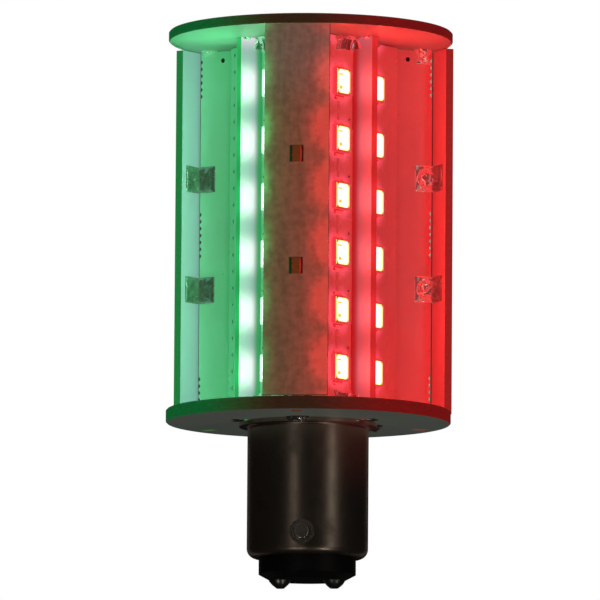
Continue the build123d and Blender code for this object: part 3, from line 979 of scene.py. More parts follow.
class Sculpture:
    """A mesh made of lofted rings, with one or more materials."""

    def __init__(self) -> None:
        """Start an empty mesh."""
        self.mesh = bmesh.new()

    def _face(
        self, corners: Sequence[bmesh.types.BMVert], number: int, smooth: bool = True
    ) -> None:
        """Add one face with its material number and shading."""
        face = self.mesh.faces.new(corners)
        face.material_index = number
        face.smooth = smooth

    def loft(
        self, rings: Sequence[Sequence[Vector]], materials: Sequence[int] = (), smooth: bool = True
    ) -> None:
        """Skin closed rings, and close the first and the last.

        Args:
            rings: Rings with the same number of points.
            materials: Material number of each band and then of the last cap; 0 where it is short.
            smooth: Whether the faces are shaded smooth.
        """
        made = [[self.mesh.verts.new(point) for point in points] for points in rings]
        numbers = (*materials, *[0] * len(made))
        for band, (low, high) in enumerate(zip(made, made[1:])):
            for i in range(len(low)):
                j = (i + 1) % len(low)
                self._face((low[i], low[j], high[j], high[i]), numbers[band], smooth)
        self._face(made[0][::-1], 0, smooth)
        last = numbers[len(made) - 1] if len(materials) >= len(made) else 0
        self._face(made[-1], last, smooth)

    def mound(
        self,
        seat: Seat,
        outline: Outline,
        height: Relief,
        steps: int = 12,
        paint: Callable[[float, float], int] | int = 0,
    ) -> None:
        """Raise a lump on a face.

        Args:
            seat: Frame on the face.
            outline: Maps the square from -1 to 1 to local x and y.
            height: Height over the face for the same square.
            steps: How many cells the square has each way.
            paint: Material number, or a choice of it over the same square.
        """
        spots = [-1 + 2 * i / steps for i in range(steps + 1)]
        new = self.mesh.verts.new
        grid = [[new(seat.at(*outline(u, v), height(u, v))) for u in spots] for v in spots]
        rim = [(i, 0) for i in range(steps)] + [(steps, j) for j in range(steps)]
        rim += [(steps - i, steps) for i in range(steps)] + [(0, steps - j) for j in range(steps)]
        foot = {}
        for i, j in rim:
            x, y = outline(spots[i], spots[j])
            foot[i, j] = new(seat.at(x * 1.01, y * 1.01, -0.01 * MM))

        def number(u: float, v: float) -> int:
            """Material number at one point of the square."""
            return paint(u, v) if callable(paint) else paint

        for j in range(steps):
            for i in range(steps):
                corners = (grid[j][i], grid[j][i + 1], grid[j + 1][i + 1], grid[j + 1][i])
                self._face(corners, number(spots[i] + 1 / steps, spots[j] + 1 / steps))
        for (i, j), (k, m) in zip(rim, rim[1:] + rim[:1]):
            self._face((grid[j][i], foot[i, j], foot[k, m], grid[m][k]), number(1, 1))
        self._face([foot[key] for key in reversed(rim)], number(1, 1))

    def piece(
        self,
        name: str,
        materials: Sequence[bpy.types.Material],
        slot: str,
        replaced: Sequence[str] = (),
        sharp: float = 40.0,
    ) -> bpy.types.Object:
        """Turn the mesh into a piece of the lamp.

        Args:
            name: The piece's name.
            materials: Its materials, by number.
            slot: The record's material slot; it is not used.
            replaced: CAD nodes that it stands for.
            sharp: Edges sharper than this many degrees stay crisp.

        Returns:
            The new object.
        """
        bmesh.ops.recalc_face_normals(self.mesh, faces=self.mesh.faces)
        data = bpy.data.meshes.new(name)
        self.mesh.to_mesh(data)
        self.mesh.free()
        data.set_sharp_from_angle(angle=math.radians(sharp))
        for material in materials:
            data.materials.append(material)
        made = bpy.data.objects.new(name, data)
        bpy.context.scene.collection.objects.link(made)
        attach(made, "root")
        if replaced:
            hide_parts(*replaced)
        log.info("%s: %d faces", name, len(data.polygons))
        return made


def rounded_rectangle(width: float, length: float, radius: float, steps: int = 4) -> list[Flat]:
    """Outline of a rectangle with round corners.

    Args:
        width: Size along x.
        length: Size along y.
        radius: Radius of each corner.
        steps: Points on each corner, less one.

    Returns:
        Points in order round the outline.
    """
    points = []
    for quarter, (sx, sy) in enumerate(((1, 1), (-1, 1), (-1, -1), (1, -1))):
        for i in range(steps + 1):
            turn = math.radians(90 * quarter + 90 * i / steps)
            x = sx * (width / 2 - radius) + radius * math.cos(turn)
            y = sy * (length / 2 - radius) + radius * math.sin(turn)
            points.append((x, y))
    return points


def circle(radius: float, count: int = 24) -> list[Flat]:
    """Points on a circle about the origin."""
    turns = (math.tau * i / count for i in range(count))
    return [(radius * math.cos(turn), radius * math.sin(turn)) for turn in turns]


def ripple(point: Vector, feature: float, seed: float) -> float:
    """Smooth noise from -1 to 1 at a point, with blots of a given size."""
    return noise.noise(point / feature + Vector((seed, -seed, 2 * seed)))


def soft_square(half_width: float, half_length: float, round_off: float = 0.30) -> Outline:
    """A mapping from the square to a pad with rounded corners.

    Args:
        half_width: Half of the pad's size along x.
        half_length: Half of its size along y.
        round_off: How much the corners are drawn in.

    Returns:
        The mapping for Sculpture.mound().
    """

    def outline(u: float, v: float) -> Flat:
        """Local place of one point of the square."""
        pull = round_off * 0.5
        across, along = math.sqrt(1 - pull * v * v), math.sqrt(1 - pull * u * u)
        return (half_width * u * across, half_length * v * along)

    return outline


def disc_outline(half_width: float, half_length: float) -> Outline:
    """A mapping from the square to an ellipse."""
    return soft_square(half_width, half_length, 1.0)


def area_light(
    name: str, place: Vector, facing: Vector, size: Flat, colour: Colour, radiance: float
) -> None:
    """Add one rectangular light that the camera doesn't see.

    Args:
        name: The light's name.
        place: Its middle.
        facing: Direction that it shines in.
        size: Its width and height.
        colour: Colour of its light.
        radiance: Brightness of its surface.
    """
    data = bpy.data.lights.new(name, "AREA")
    data.shape = "RECTANGLE"
    data.size, data.size_y = size
    data.color = colour
    data.energy = radiance * math.pi * size[0] * size[1]
    light = bpy.data.objects.new(name, data)
    light.location = place
    light.rotation_mode = "QUATERNION"
    light.rotation_quaternion = facing.to_track_quat("-Z", "Y")
    light.visible_camera = False
    bpy.context.scene.collection.objects.link(light)


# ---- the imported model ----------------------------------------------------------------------
class Model:
    """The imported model, with sizes measured on its nodes."""

    def __init__(self, frame: dict[str, object]) -> None:
        """Keep the loaded frame.
        """
        self.nodes: dict[str, bpy.types.Object] = frame["nodes"]

    def span(self, node: str, direction: Vector) -> tuple[float, float]:
        """How far a node reaches along a direction.

        Args:
            node: The node's name.
            direction: Unit vector.

        Returns:
            Its lowest and highest reach.
        """
        reach = [vertex.co.dot(direction) for vertex in self.nodes[node].data.vertices]
        return min(reach), max(reach)

    def dress(self, node: str, material: bpy.types.Material) -> None:
        """Give every slot of a node one material."""
        slots = self.nodes[node].material_slots
        for slot in slots:
            slot.material = material
        if not slots:
            self.nodes[node].data.materials.append(material)
        log.info("%s dressed in %s", node, material.name)


# ---- sub-assemblies --------------------------------------------------------------------------
@dataclass
class LedModule:
    """One LED board with its fin and its LEDs.

    Attributes:
        model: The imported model.
        side: Name of the sector.
        count: LEDs in each column.
        window_w: Width of an LED's window.
        window_l: Length of an LED's window.
        body_w: Width of an LED's package.
        body_l: Length of an LED's package.
        terminal_w: Width of a package's terminal.
        via_step: Rise from via to via in the row beside the board's edge.
        via_margin: Distance of that row from the edge.
        via_head: Distance of its highest via from the board's top.
        trace_w: Width of a trace between two LEDs.
        shoulder_w: Width of the long trace beside a column.
        shoulder_in: Distance of the long trace from the board's edge.
    """

    model: Model
    side: str
    count: int = 6
    window_w: float = 2.3 * MM
    window_l: float = 2.9 * MM
    body_w: float = 2.8 * MM
    body_l: float = 3.5 * MM
    terminal_w: float = 1.9 * MM
    via_step: float = 2.1 * MM
    via_margin: float = 1.15 * MM
    via_head: float = 2.2 * MM
    trace_w: float = 0.45 * MM
    shoulder_w: float = 0.5 * MM
    shoulder_in: float = 1.7 * MM
    light: SectorLight = field(init=False)
    seat: Seat = field(init=False)
    rise: float = field(init=False)
    columns: tuple[float, float] = field(init=False)
    rows: list[float] = field(init=False)

    def __post_init__(self) -> None:
        """Measure where the board's face and its LEDs are."""
        self.light = SECTORS[self.side]
        azimuth = self.light.azimuth
        windows = f"{self.side}_led_windows"
        face = self.model.span(f"{self.side}_led_board", outward(azimuth))[1]
        low, high = self.model.span(windows, UP)
        first = low + self.window_l / 2
        pitch = (high - low - self.window_l) / (self.count - 1)
        edge = self.model.span(windows, sideways(azimuth))[1] - self.window_w / 2
        self.rise = self.model.span(windows, outward(azimuth))[1] - face
        self.seat = Seat(outward(azimuth) * face, sideways(azimuth), UP, outward(azimuth))
        self.columns = (-edge, edge)
        self.rows = [first + pitch * row for row in range(self.count)]

    @property
    def places(self) -> list[Flat]:
        """Centre of each LED, across the board and up."""
        return [(column, row) for column in self.columns for row in self.rows]

    def _rings(
        self, place: Flat, outlines: Sequence[tuple[float, float, float, float]]
    ) -> list[list[Vector]]:
        """Rounded rings round one LED, each given as width, length, radius and height."""
        x, y = place
        return [
            [self.seat.at(x + px, y + py, z) for px, py in rounded_rectangle(width, length, radius)]
            for width, length, radius, z in outlines
        ]

    def build(self) -> None:
        """Build the LEDs, and the pads, vias and traces round them."""
        self.build_packages()
        self.build_windows()
        self.build_terminals()
        self.build_traces()
        self.build_lights()

    def build_packages(self) -> None:
        """Build the moulded packages, each with a well for its window."""
        w, l, top = self.body_w, self.body_l, self.rise
        ww, wl = self.window_w, self.window_l
        outlines = [
            (w - 0.16 * MM, l - 0.16 * MM, 0.10 * MM, 0.01 * MM),
            (w, l, 0.14 * MM, 0.30 * top),
            (w - 0.06 * MM, l - 0.08 * MM, 0.16 * MM, top - 0.07 * MM),
            (w - 0.16 * MM, l - 0.18 * MM, 0.16 * MM, top - 0.01 * MM),
            (ww + 0.08 * MM, wl + 0.08 * MM, 0.42 * MM, top),
            (ww, wl, 0.40 * MM, top - 0.05 * MM),
            (ww - 0.30 * MM, wl - 0.30 * MM, 0.34 * MM, 0.55 * top),
        ]
        sculpture = Sculpture()
        for place in self.places:
            sculpture.loft(self._rings(place, outlines), (0, 0, 0, 0, 1, 1, 1))
        self._light_long_rims(sculpture)
        dust = (0.55, 0.5, 0.42)
        plastic = MouldedFinish(Moulded.LED_PLASTIC, dust, self.light.package, f"_{self.side}")
        rim = Glowing(f"{self.side}_led_rim", self.light.rim, 0.25)
        materials = [plastic.material(), rim.material()]
        replaced = [f"{self.side}_led_bodies"]
        sculpture.piece(f"{self.side}_led_packages", materials, "led_body", replaced, 28)

    def _light_long_rims(self, sculpture: Sculpture) -> None:
        """Give the upper faces beside each window the rim's glow, but not those at its ends."""
        board_r = self.seat.origin.dot(self.seat.out)
        for face in sculpture.mesh.faces:
            centre = face.calc_center_median()
            if centre.dot(self.seat.out) - board_r < self.rise * 0.9:
                continue
            gap = min(abs(centre.z - row) for row in self.rows)
            if gap < self.window_l * 0.46:
                face.material_index = 1

    def build_windows(self) -> None:
        """Build the domed windows, and the bonding marks that show through them."""
        ww, wl, top = self.window_w - 0.02 * MM, self.window_l - 0.02 * MM, self.rise
        outlines = [
            (ww - 0.30 * MM, wl - 0.30 * MM, 0.34 * MM, 0.60 * top),
            (ww - 0.02 * MM, wl - 0.02 * MM, 0.40 * MM, top - 0.07 * MM),
            (ww - 0.14 * MM, wl - 0.14 * MM, 0.38 * MM, top - 0.045 * MM),
            (ww - 0.60 * MM, wl - 0.70 * MM, 0.34 * MM, top - 0.020 * MM),
            (ww - 1.50 * MM, wl - 1.70 * MM, 0.20 * MM, top - 0.010 * MM),
        ]
        marks = (
            (-0.62 * MM, 0.86 * MM, 0.92 * MM, 0.20 * MM),
            (-0.62 * MM, -0.78 * MM, 0.60 * MM, 0.42 * MM),
        )
        sculpture = Sculpture()
        for place in self.places:
            sculpture.loft(self._rings(place, outlines), (0, 1, 0, 0, 0))
            for x, y, width, length in marks:
                spot = (place[0] + x, place[1] + y)
                plate = [
                    (width, length, 0.10 * MM, top - 0.060 * MM),
                    (width, length, 0.10 * MM, top - 0.012 * MM),
                    (0.6 * width, 0.6 * length, 0.05 * MM, top - 0.006 * MM),
                ]
                sculpture.loft(self._rings(spot, plate), (2, 2, 2))
        finishes = [
            Glowing(f"{self.side}_led_window", self.light.window, 0.05),
            Glowing(f"{self.side}_window_edge", self.light.rim, 0.25),
            Glowing(f"{self.side}_bond_mark", self.light.mark, 0.35),
        ]
        made = sculpture.piece(
            f"{self.side}_led_glow",
            [finish.material() for finish in finishes],
            WINDOW_SLOTS[self.side],
            [f"{self.side}_led_windows"],
            60,
        )
        made.visible_diffuse = False
        made.visible_glossy = False

    def build_terminals(self) -> None:
        """Build the plated terminals, their pads, and the solder that joins them."""
        sculpture = Sculpture()
        for number, (x, y) in enumerate(self.places):
            for end in (-1, 1):
                centre = y + end * (self.body_l / 2 + 0.02 * MM)
                sculpture.loft(self._rings((x, centre), [
                    (self.terminal_w, 0.22 * MM, 0.05 * MM, 0.01 * MM),
                    (self.terminal_w, 0.22 * MM, 0.05 * MM, 0.24 * MM),
                    (self.terminal_w - 0.08 * MM, 0.12 * MM, 0.04 * MM, 0.28 * MM),
                ]))
                toe = self.seat.at(x, centre + end * 0.20 * MM)
                foot = Seat(toe, self.seat.across, self.seat.up * end, self.seat.out)
                pad = soft_square(self.terminal_w * 0.52, 0.30 * MM, 0.5)
                sculpture.mound(foot, pad, self._foot_height(number, end), 8, 1)
        metals = []
        for metal, share in ((Metal.TINNED, 1.3), (Metal.SOLDER, 1.5)):
            glow = tuple(share * part for part in self.light.fill)
            finish = MetalFinish(metal, worn=0.0, glow=glow, suffix=f"_{self.side}")
            metals.append(finish.material())
        sculpture.piece(f"{self.side}_led_terminals", metals, "solder", (), 45)

    @staticmethod
    def _foot_height(number: int, end: int) -> Relief:
        """Height of the solder at one terminal, high at the package and low outside."""

        def height(u: float, v: float) -> float:
            """Height at one point of the square."""
            lump = 0.03 * MM * noise.noise(Vector((3 * u, 3 * v, number + 0.5 * end)))
            return (0.05 + 0.20 * (0.5 - 0.5 * v) ** 2) * MM * (1 - 0.35 * u * u) + lump

        return height

    def build_traces(self) -> None:
        """Build the raised traces, via rings and via holes on the board's face."""
        sculpture = Sculpture()
        half_board = self.model.span(f"{self.side}_led_board", sideways(self.light.azimuth))[1]
        gap = self.rows[1] - self.rows[0] - self.body_l
        run = self.rows[-1] - self.rows[0] + self.body_l
        for side in (-1, 1):
            for row in range(self.count - 1):
                middle = (self.rows[row] + self.rows[row + 1]) / 2
                centre = (side * self.columns[1], middle)
                self._trace(sculpture, centre, (self.trace_w, gap - 1.4 * MM))
                self._via(sculpture, (self.columns[0], middle + 0.6 * MM), 0.6)
                self._via(sculpture, (side * 1.3 * MM, middle - 0.9 * MM), 0.5)
            centre = (side * (half_board - self.shoulder_in), (self.rows[0] + self.rows[-1]) / 2)
            self._trace(sculpture, centre, (self.shoulder_w, run))
        foot, head = self.model.span(f"{self.side}_led_board", UP)
        for step in range(int((head - foot) / self.via_step) - 1):
            height = head - self.via_head - step * self.via_step
            self._via(sculpture, (self.via_margin - half_board, height), 0.8)
        name = f"{self.side}_trace_mask"
        board = MaskedBoard(name, self.seat.out, glow=0.0, plus=Fill(self.side))
        inner = tuple(0.25 * part for part in self.light.fill)
        hole = MouldedFinish(Moulded.VIA, glow=inner, suffix=f"_{self.side}")
        materials = [board.material(), hole.material()]
        sculpture.piece(f"{self.side}_board_traces", materials, "white_board", (), 50)

    def _trace(self, sculpture: Sculpture, centre: Flat, size: Flat) -> None:
        """Add one copper trace under the mask, as a low ridge with soft shoulders."""
        width, length = size
        lift = 0.045 * MM
        sculpture.loft(self._rings(centre, [
            (width + 0.16 * MM, length + 0.16 * MM, 0.16 * MM, -0.01 * MM),
            (width + 0.10 * MM, length + 0.10 * MM, 0.15 * MM, 0.5 * lift),
            (width, length, 0.12 * MM, lift),
        ]))

    def _via(self, sculpture: Sculpture, centre: Flat, scale: float = 1.0) -> None:
        """Add one via: a raised mask ring round a dark hole."""
        x, y = centre
        rings = []
        profile = ((0.36, -0.01), (0.33, 0.04), (0.22, 0.045), (0.17, 0.02), (0.165, 0.005))
        for radius, lift in profile:
            points = circle(radius * scale * MM, 12)
            rings.append([self.seat.at(x + px, y + py, lift * MM) for px, py in points])
        sculpture.loft(rings, (0, 0, 0, 1, 1))

    def build_lights(self) -> None:
        """Put one small area light in front of each window."""
        size = (self.window_w, self.window_l)
        for number, (x, y) in enumerate(self.places):
            place = self.seat.at(x, y, self.rise + 0.03 * MM)
            name = f"{self.side}_led_{number}"
            area_light(name, place, self.seat.out, size, self.light.colour, self.light.radiance)

    def dress(self) -> None:
        """Give the board and its fin their finishes."""
        azimuth = self.light.azimuth
        board = LedBoardMask(
            name=f"{self.side}_board_mask",
            face=outward(azimuth),
            plus=Fill(self.side),
            across=sideways(azimuth),
            column=self.columns[1],
            first=self.rows[0],
            pitch=self.rows[1] - self.rows[0],
            size=(self.body_w, self.body_l),
            halo=self.light.halo,
        )
        self.model.dress(f"{self.side}_led_board", board.material())
        fin = LitFin(
            name=f"{self.side}_fin_mask",
            azimuth=azimuth,
            first=self.rows[0],
            pitch=self.rows[1] - self.rows[0],
            root=self.seat.origin.length,
            light=self.light,
        )
        self.model.dress(f"{self.side}_fin", fin.material())


@dataclass
class Enclosure:
    """The two round boards, the baffles and their lips.

    Attributes:
        model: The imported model.
        led: One LED module, for the height of its rows.
        hole_in: Tooling hole's distance in from the baffle's outer edge.
        hole_drop: Its depth under the top disc.
        hole_r: Its radius, as the plug fills it.
        lip_gap: Gap between a baffle's outer edge and the lip.
        disc_mask: Colour of the discs' mask.
    """

    model: Model
    led: LedModule
    hole_in: float = 3.36 * MM
    hole_drop: float = 1.30 * MM
    hole_r: float = 0.29 * MM
    lip_gap: float = 0.30 * MM
    disc_mask: Colour = (0.54, 0.54, 0.53)

    def dress(self) -> None:
        """Give every board of the enclosure its finish."""
        faces = {"bottom_disc": (Fill.UNDER, Fill.ROUND), "top_disc": (Fill.ROUND, Fill.NONE)}
        for disc, (minus, plus) in faces.items():
            board = MaskedBoard(
                f"{disc}_mask", UP, mask=self.disc_mask, glow=0.30, minus=minus, plus=plus
            )
            self.model.dress(disc, board.material())
        for side, azimuth in BAFFLES.items():
            baffle = MaskedBoard(
                name=f"{side}_baffle_mask",
                face=sideways(azimuth),
                glow=0.5,
                dark=(0.13, 0.026, 0.006),
                minus=Fill(LIP_SIDES[side][0]),
                plus=Fill(LIP_SIDES[side][1]),
            )
            self.model.dress(f"{side}_baffle", baffle.material())
            low, high = self.model.span(f"{side}_lip", sideways(azimuth))
            minus, plus = (SECTORS[name] for name in LIP_SIDES[side])
            lip = BareLip(
                name=f"{side}_lip_laminate",
                azimuth=azimuth,
                half=(high - low) / 2,
                first=self.led.rows[0],
                pitch=self.led.rows[1] - self.led.rows[0],
                top=self.model.span(f"{side}_lip", UP)[1],
                shadow=LIP_SHADOWS[side],
                minus=minus,
                plus=plus,
            )
            self.model.dress(f"{side}_lip", lip.material())

    def build_plugs(self) -> None:
        """Build the epoxy plugs in the baffles' tooling holes."""
        sculpture = Sculpture()
        for side, azimuth in BAFFLES.items():
            edge = self.model.span(f"{side}_lip", outward(azimuth))[0] - self.lip_gap
            low, high = self.model.span(f"{side}_baffle", sideways(azimuth))
            ceiling = self.model.span("top_disc", UP)[0]
            middle = outward(azimuth) * (edge - self.hole_in) + UP * (ceiling - self.hole_drop)
            rings = []
            for share, radius in ((low, 0.8), (low * 0.9, 1.0), (high * 0.9, 1.0), (high, 0.8)):
                rings.append([
                    middle + sideways(azimuth) * share * 0.97 + outward(azimuth) * x + UP * z
                    for x, z in circle(self.hole_r * radius, 16)
                ])
            sculpture.loft(rings)
        plug = MouldedFinish(Moulded.VIA, suffix="_plug")
        sculpture.piece("tooling_hole_plugs", [plug.material()], "black_board", (), 50)


@dataclass
class Solderwork:
    """Every solder joint of the lamp.

    Attributes:
        model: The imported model.
        pad_w: Width of a corner pad.
        pad_l: Height of a corner pad.
        waist_half: Half of the width of a joint at a baffle's end.
        waist_drop: Half of its height.
        flat_drop: Half of its height where it is thin.
        tent_at: Distance of a tent's middle from the fin's middle.
        tent_half: Half of a tent's width.
        tent_drop: Height of a tent.
        bead_at: Distance of the bead from the tent's middle.
        bead_r: Radius of the bead beside a tent.
        lump_size: Half of the width, the height and the depth of a lump at a fin's end.
        wing_reach: How far a wing runs out over the fin.
        wing_drop: Height of a wing.
        flange_half: Half of the width and length of a lump at the cap's flange.
        tab_half: Half of the width of a lump over a fin's tab.
    """

    model: Model
    pad_w: float = 2.6 * MM
    pad_l: float = 3.3 * MM
    waist_half: float = 1.05 * MM
    waist_drop: float = 0.88 * MM
    flat_drop: float = 0.26 * MM
    tent_at: float = 2.35 * MM
    tent_half: float = 1.95 * MM
    tent_drop: float = 1.65 * MM
    bead_at: float = 1.75 * MM
    bead_r: float = 0.40 * MM
    lump_size: tuple[float, float, float] = (0.50 * MM, 0.36 * MM, 0.42 * MM)
    wing_reach: float = 1.30 * MM
    wing_drop: float = 1.45 * MM
    flange_half: Flat = (1.55 * MM, 1.05 * MM)
    tab_half: float = 0.8 * MM
    metals: list[bpy.types.Material] = field(init=False)
    lit: list[bpy.types.Material] = field(init=False)

    def __post_init__(self) -> None:
        """Mix the two metals that the joints use, plain and with the sectors' light."""
        self.metals = [MetalFinish(Metal.SOLDER).material(), MetalFinish(Metal.TINNED).material()]
        self.lit = [
            JointFinish(metal, worn=0.2, suffix="_joint", share=share, pale=pale).material()
            for metal, share, pale in ((Metal.SOLDER, 0.62, 0.010), (Metal.TINNED, 0.12, 0.0))
        ]

    def build(self) -> None:
        """Build each group of joints."""
        self.build_lip_joints()
        self.build_baffle_joints()
        self.build_board_joints()
        self.build_fin_joints()
        self.build_under_joints()
        self.build_lead_joints()

    def build_lip_joints(self) -> None:
        """Build the pads and lumps that join each lip to its baffle."""
        sculpture = Sculpture()
        lip_r = self.model.span("bow_lip", outward(0))[0]
        half_t = self.model.span("bow_baffle", sideways(0))[1]
        low, high = self.model.span("lip_solder", UP)
        heights = (low + self.pad_l / 2, high - self.pad_l / 2)
        for azimuth in BAFFLES.values():
            for level, height in enumerate(heights):
                for side in (-1, 1):
                    out = sideways(azimuth) * side
                    corner = outward(azimuth) * lip_r + out * half_t + UP * height
                    on_baffle = Seat(corner, -outward(azimuth), UP, out)
                    on_lip = Seat(corner, out, UP, -outward(azimuth))
                    seed = azimuth + side + level
                    self._corner_joint(sculpture, on_baffle, on_lip, azimuth >= 0, seed)
        sculpture.piece("lip_joints", self.lit, "solder", ["lip_solder"], 60)

    def _corner_joint(
        self, sculpture: Sculpture, on_baffle: Seat, on_lip: Seat, full: bool, seed: float
    ) -> None:
        """Build one corner joint.

        Args:
            sculpture: The mesh to add it to.
            on_baffle: Frame on the baffle, with x away from the corner.
            on_lip: Frame on the lip, with x away from the corner.
            full: Whether the baffle's pad has a round lump, not thin solder.
            seed: Changes the wrinkles.
        """
        half_w, half_l = self.pad_w / 2, self.pad_l / 2

        def shifted(seat: Seat) -> Seat:
            """The same frame, moved to the middle of its pad."""
            return Seat(seat.at(half_w, 0), seat.across, seat.up, seat.out)

        def thin(u: float, v: float) -> float:
            """Tinned pad with a meniscus towards the corner."""
            edge = max(0.0, 1 - abs(v) ** 6) * max(0.0, 1 - max(0.0, u) ** 8)
            rise = 0.75 * (0.5 - 0.5 * u) ** 3.2
            waves = 0.16 * ripple(Vector((u, v, seed)), 0.5, seed)
            waves += 0.10 * ripple(Vector((u, v, 0)), 0.2, seed)
            return (0.05 + (rise + 0.14 + waves) * edge) * MM

        def lump(u: float, v: float) -> float:
            """Glossy lump over the pad, with a crease and a drawn-out side."""
            reach = math.hypot((u + 0.08) / 0.88, (v + 0.04) / 0.80)
            dome = 0.85 * max(0.0, 1 - reach * reach) ** 0.75
            crease = 0.22 * math.exp(-(((v + 0.35 - 0.5 * u) / 0.13) ** 2))
            crease *= 1 - min(1.0, reach) ** 4
            folds = 1 + 0.35 * ripple(Vector((u, v, 1)), 0.45, seed)
            return thin(u, v) + (dome * folds + crease) * MM

        pad = soft_square(half_w, half_l, 0.06)
        if full:
            sculpture.mound(shifted(on_baffle), pad, lump, 22, 0)
        else:
            sculpture.mound(shifted(on_baffle), pad, thin, 22, 1)
        sculpture.mound(shifted(on_lip), pad, thin, 16, 1)

    def _hanging(self, sculpture: Sculpture, seat: Seat, seed: float) -> None:
        """Build a lump in the corner between a wall and a disc.

        Args:
            sculpture: The mesh to add it to.
            seat: Frame on the wall at the disc, with y away from the disc.
            seed: Changes the wrinkles.
        """
        half, drop, out = self.lump_size
        stations, spots = 11, 9
        rings = []
        for i in range(stations):
            t = -1 + 2 * i / (stations - 1)
            taper = math.sqrt(max(0.02, 1 - t * t * 0.98))
            waist = 1 + 0.20 * ripple(Vector((t, 0, seed)), 0.5, seed)
            points = [seat.at(half * t, -0.02 * MM, -0.02 * MM)]
            for j in range(spots):
                s = j / (spots - 1)
                reach_out = out * taper * waist * (1 - s) ** 1.7
                reach_down = drop * taper * waist * s**1.5
                wrinkle = 1 + ripple(Vector((t, s, seed)), 0.35, seed)
                lift = 0.10 * MM * math.sin(math.pi * s) * wrinkle
                aside = half * t * (1 + 0.12 * s)
                points.append(seat.at(aside, reach_down + lift, reach_out + lift))
            rings.append(points)
        sculpture.loft(rings)

    def build_baffle_joints(self) -> None:
        """Build the lumps at the ends of each baffle."""
        sculpture = Sculpture()
        half_t = self.model.span("bow_baffle", sideways(0))[1]
        low, high = self._solder_radii("baffle_solder", "bow")
        for azimuth in BAFFLES.values():
            for side, seat in self._wall_ends(azimuth, (low + high) / 2, half_t):
                flat = azimuth < 0 and seat.up.z < 0
                drop = self.flat_drop if flat else self.waist_drop
                self._hourglass(sculpture, seat, drop, azimuth * 0.37 + side + seat.up.z)
        sculpture.piece("baffle_joints", self.lit, "solder", ["baffle_solder"], 60)

    def _hourglass(self, sculpture: Sculpture, seat: Seat, drop: float, seed: float) -> None:
        """Build a joint that is wide at the disc and at its foot, and narrow between."""

        def outline(u: float, v: float) -> Flat:
            """Waisted strip."""
            waist = 1 - 0.34 * math.cos(math.pi * v / 2) ** 2
            return (self.waist_half * u * waist, drop * v)

        def height(u: float, v: float) -> float:
            """Twin ridges that join under the disc."""
            s = (v + 1) / 2
            edge = math.sqrt(max(0.0, 1 - u * u))
            fork = 0.22 * math.exp(-(((abs(u) - 0.55 * s) / 0.22) ** 2))
            lump = 0.75 * (1 - s) ** 1.6 + 0.30 * math.sqrt(max(0.0, 1 - s**4))
            wrinkle = 0.14 * ripple(Vector((u, v, seed)), 0.45, seed)
            return MM * (0.03 + edge * (lump + fork + wrinkle))

        middle = Seat(seat.at(0, drop), seat.across, seat.up, seat.out)
        sculpture.mound(middle, outline, height, 18)

    def build_board_joints(self) -> None:
        """Build the half-round tents that join each LED board to the discs beside its fin."""
        sculpture = Sculpture()
        for name, light in SECTORS.items():
            azimuth = light.azimuth
            face = self.model.span(f"{name}_led_board", outward(azimuth))[1]
            for side in (-1, 1):
                middle = outward(azimuth) * face + sideways(azimuth) * side * self.tent_at
                for seat in self._ends(middle, sideways(azimuth), outward(azimuth)):
                    seed = azimuth * 0.11 + side * 2 + seat.up.z
                    self._tent(sculpture, seat, seed)
                    place = seat.at(side * self.bead_at, 0.42 * MM)
                    far = Seat(place, seat.across, seat.up, seat.out)
                    self._bead(sculpture, far, seed)
        sculpture.piece("board_joints", self.lit, "solder", ["board_solder"], 60)

    def _tent(self, sculpture: Sculpture, seat: Seat, seed: float) -> None:
        """Build a half-round joint on a wall: a thin skin with a raised arch, and a thick root.

        Args:
            sculpture: The mesh to add it to.
            seat: Frame on the wall at the disc, with y away from the disc.
            seed: Changes the wrinkles.
        """
        half, drop = self.tent_half, self.tent_drop

        def outline(u: float, v: float) -> Flat:
            """Half disc, with its round side towards the disc."""
            s = (v + 1) / 2
            width = half * u * math.sqrt(1 - 0.80 * (1 - s) ** 2)
            return (width, drop * s + 0.10 * half * u * u * s)

        def arch(u: float, v: float) -> float:
            """Hollow skin between two ridges that meet under the disc."""
            s = (v + 1) / 2
            ridge = 0.34 * math.exp(-(((abs(u) - 0.84) / 0.15) ** 2)) * (1.1 - 0.5 * s)
            root = 0.85 * (1 - s) ** 2.4
            wrinkle = 0.07 * ripple(Vector((u, v, seed)), 0.4, seed)
            edge = max(0.0, 1 - u**10) ** 0.5
            return MM * (0.04 + edge * (ridge + root + wrinkle))

        def shade(u: float, v: float) -> int:
            """Ridges in bright solder with much painted sector light, a painted highlight; the
            middle in darker tinned metal with little.
            """
            return 0 if abs(u) > 0.58 or v < -0.55 else 1

        sculpture.mound(seat, outline, arch, 22, shade)

    def _bead(self, sculpture: Sculpture, seat: Seat, seed: float) -> None:
        """Build one round bead of solder, as high as it is wide."""

        def height(u: float, v: float) -> float:
            """Dome with slight wrinkles."""
            inside = max(0.0, 1 - u * u) * max(0.0, 1 - v * v)
            wrinkle = 1 + 0.25 * ripple(Vector((u, v, seed)), 0.6, seed)
            return 2 * self.bead_r * inside**0.5 * wrinkle

        sculpture.mound(seat, disc_outline(self.bead_r, self.bead_r), height, 8)

    def build_fin_joints(self) -> None:
        """Build the small lumps at the ends of each fin."""
        sculpture = Sculpture()
        low, high = self._solder_radii("fin_solder", "port")
        for name, light in SECTORS.items():
            azimuth = light.azimuth
            half_t = self.model.span(f"{name}_fin", sideways(azimuth))[1]
            for side, seat in self._wall_ends(azimuth, (low + high) / 2, half_t):
                self._hanging(sculpture, seat, azimuth * 0.23 - side + seat.up.z)
            root = self.model.span(f"{name}_led_board", outward(azimuth))[1]
            for side, seat in self._wall_ends(azimuth, root, half_t):
                self._wing(sculpture, seat, azimuth * 0.31 + side)
        sculpture.piece("fin_joints", self.lit, "solder", ["fin_solder"], 60)

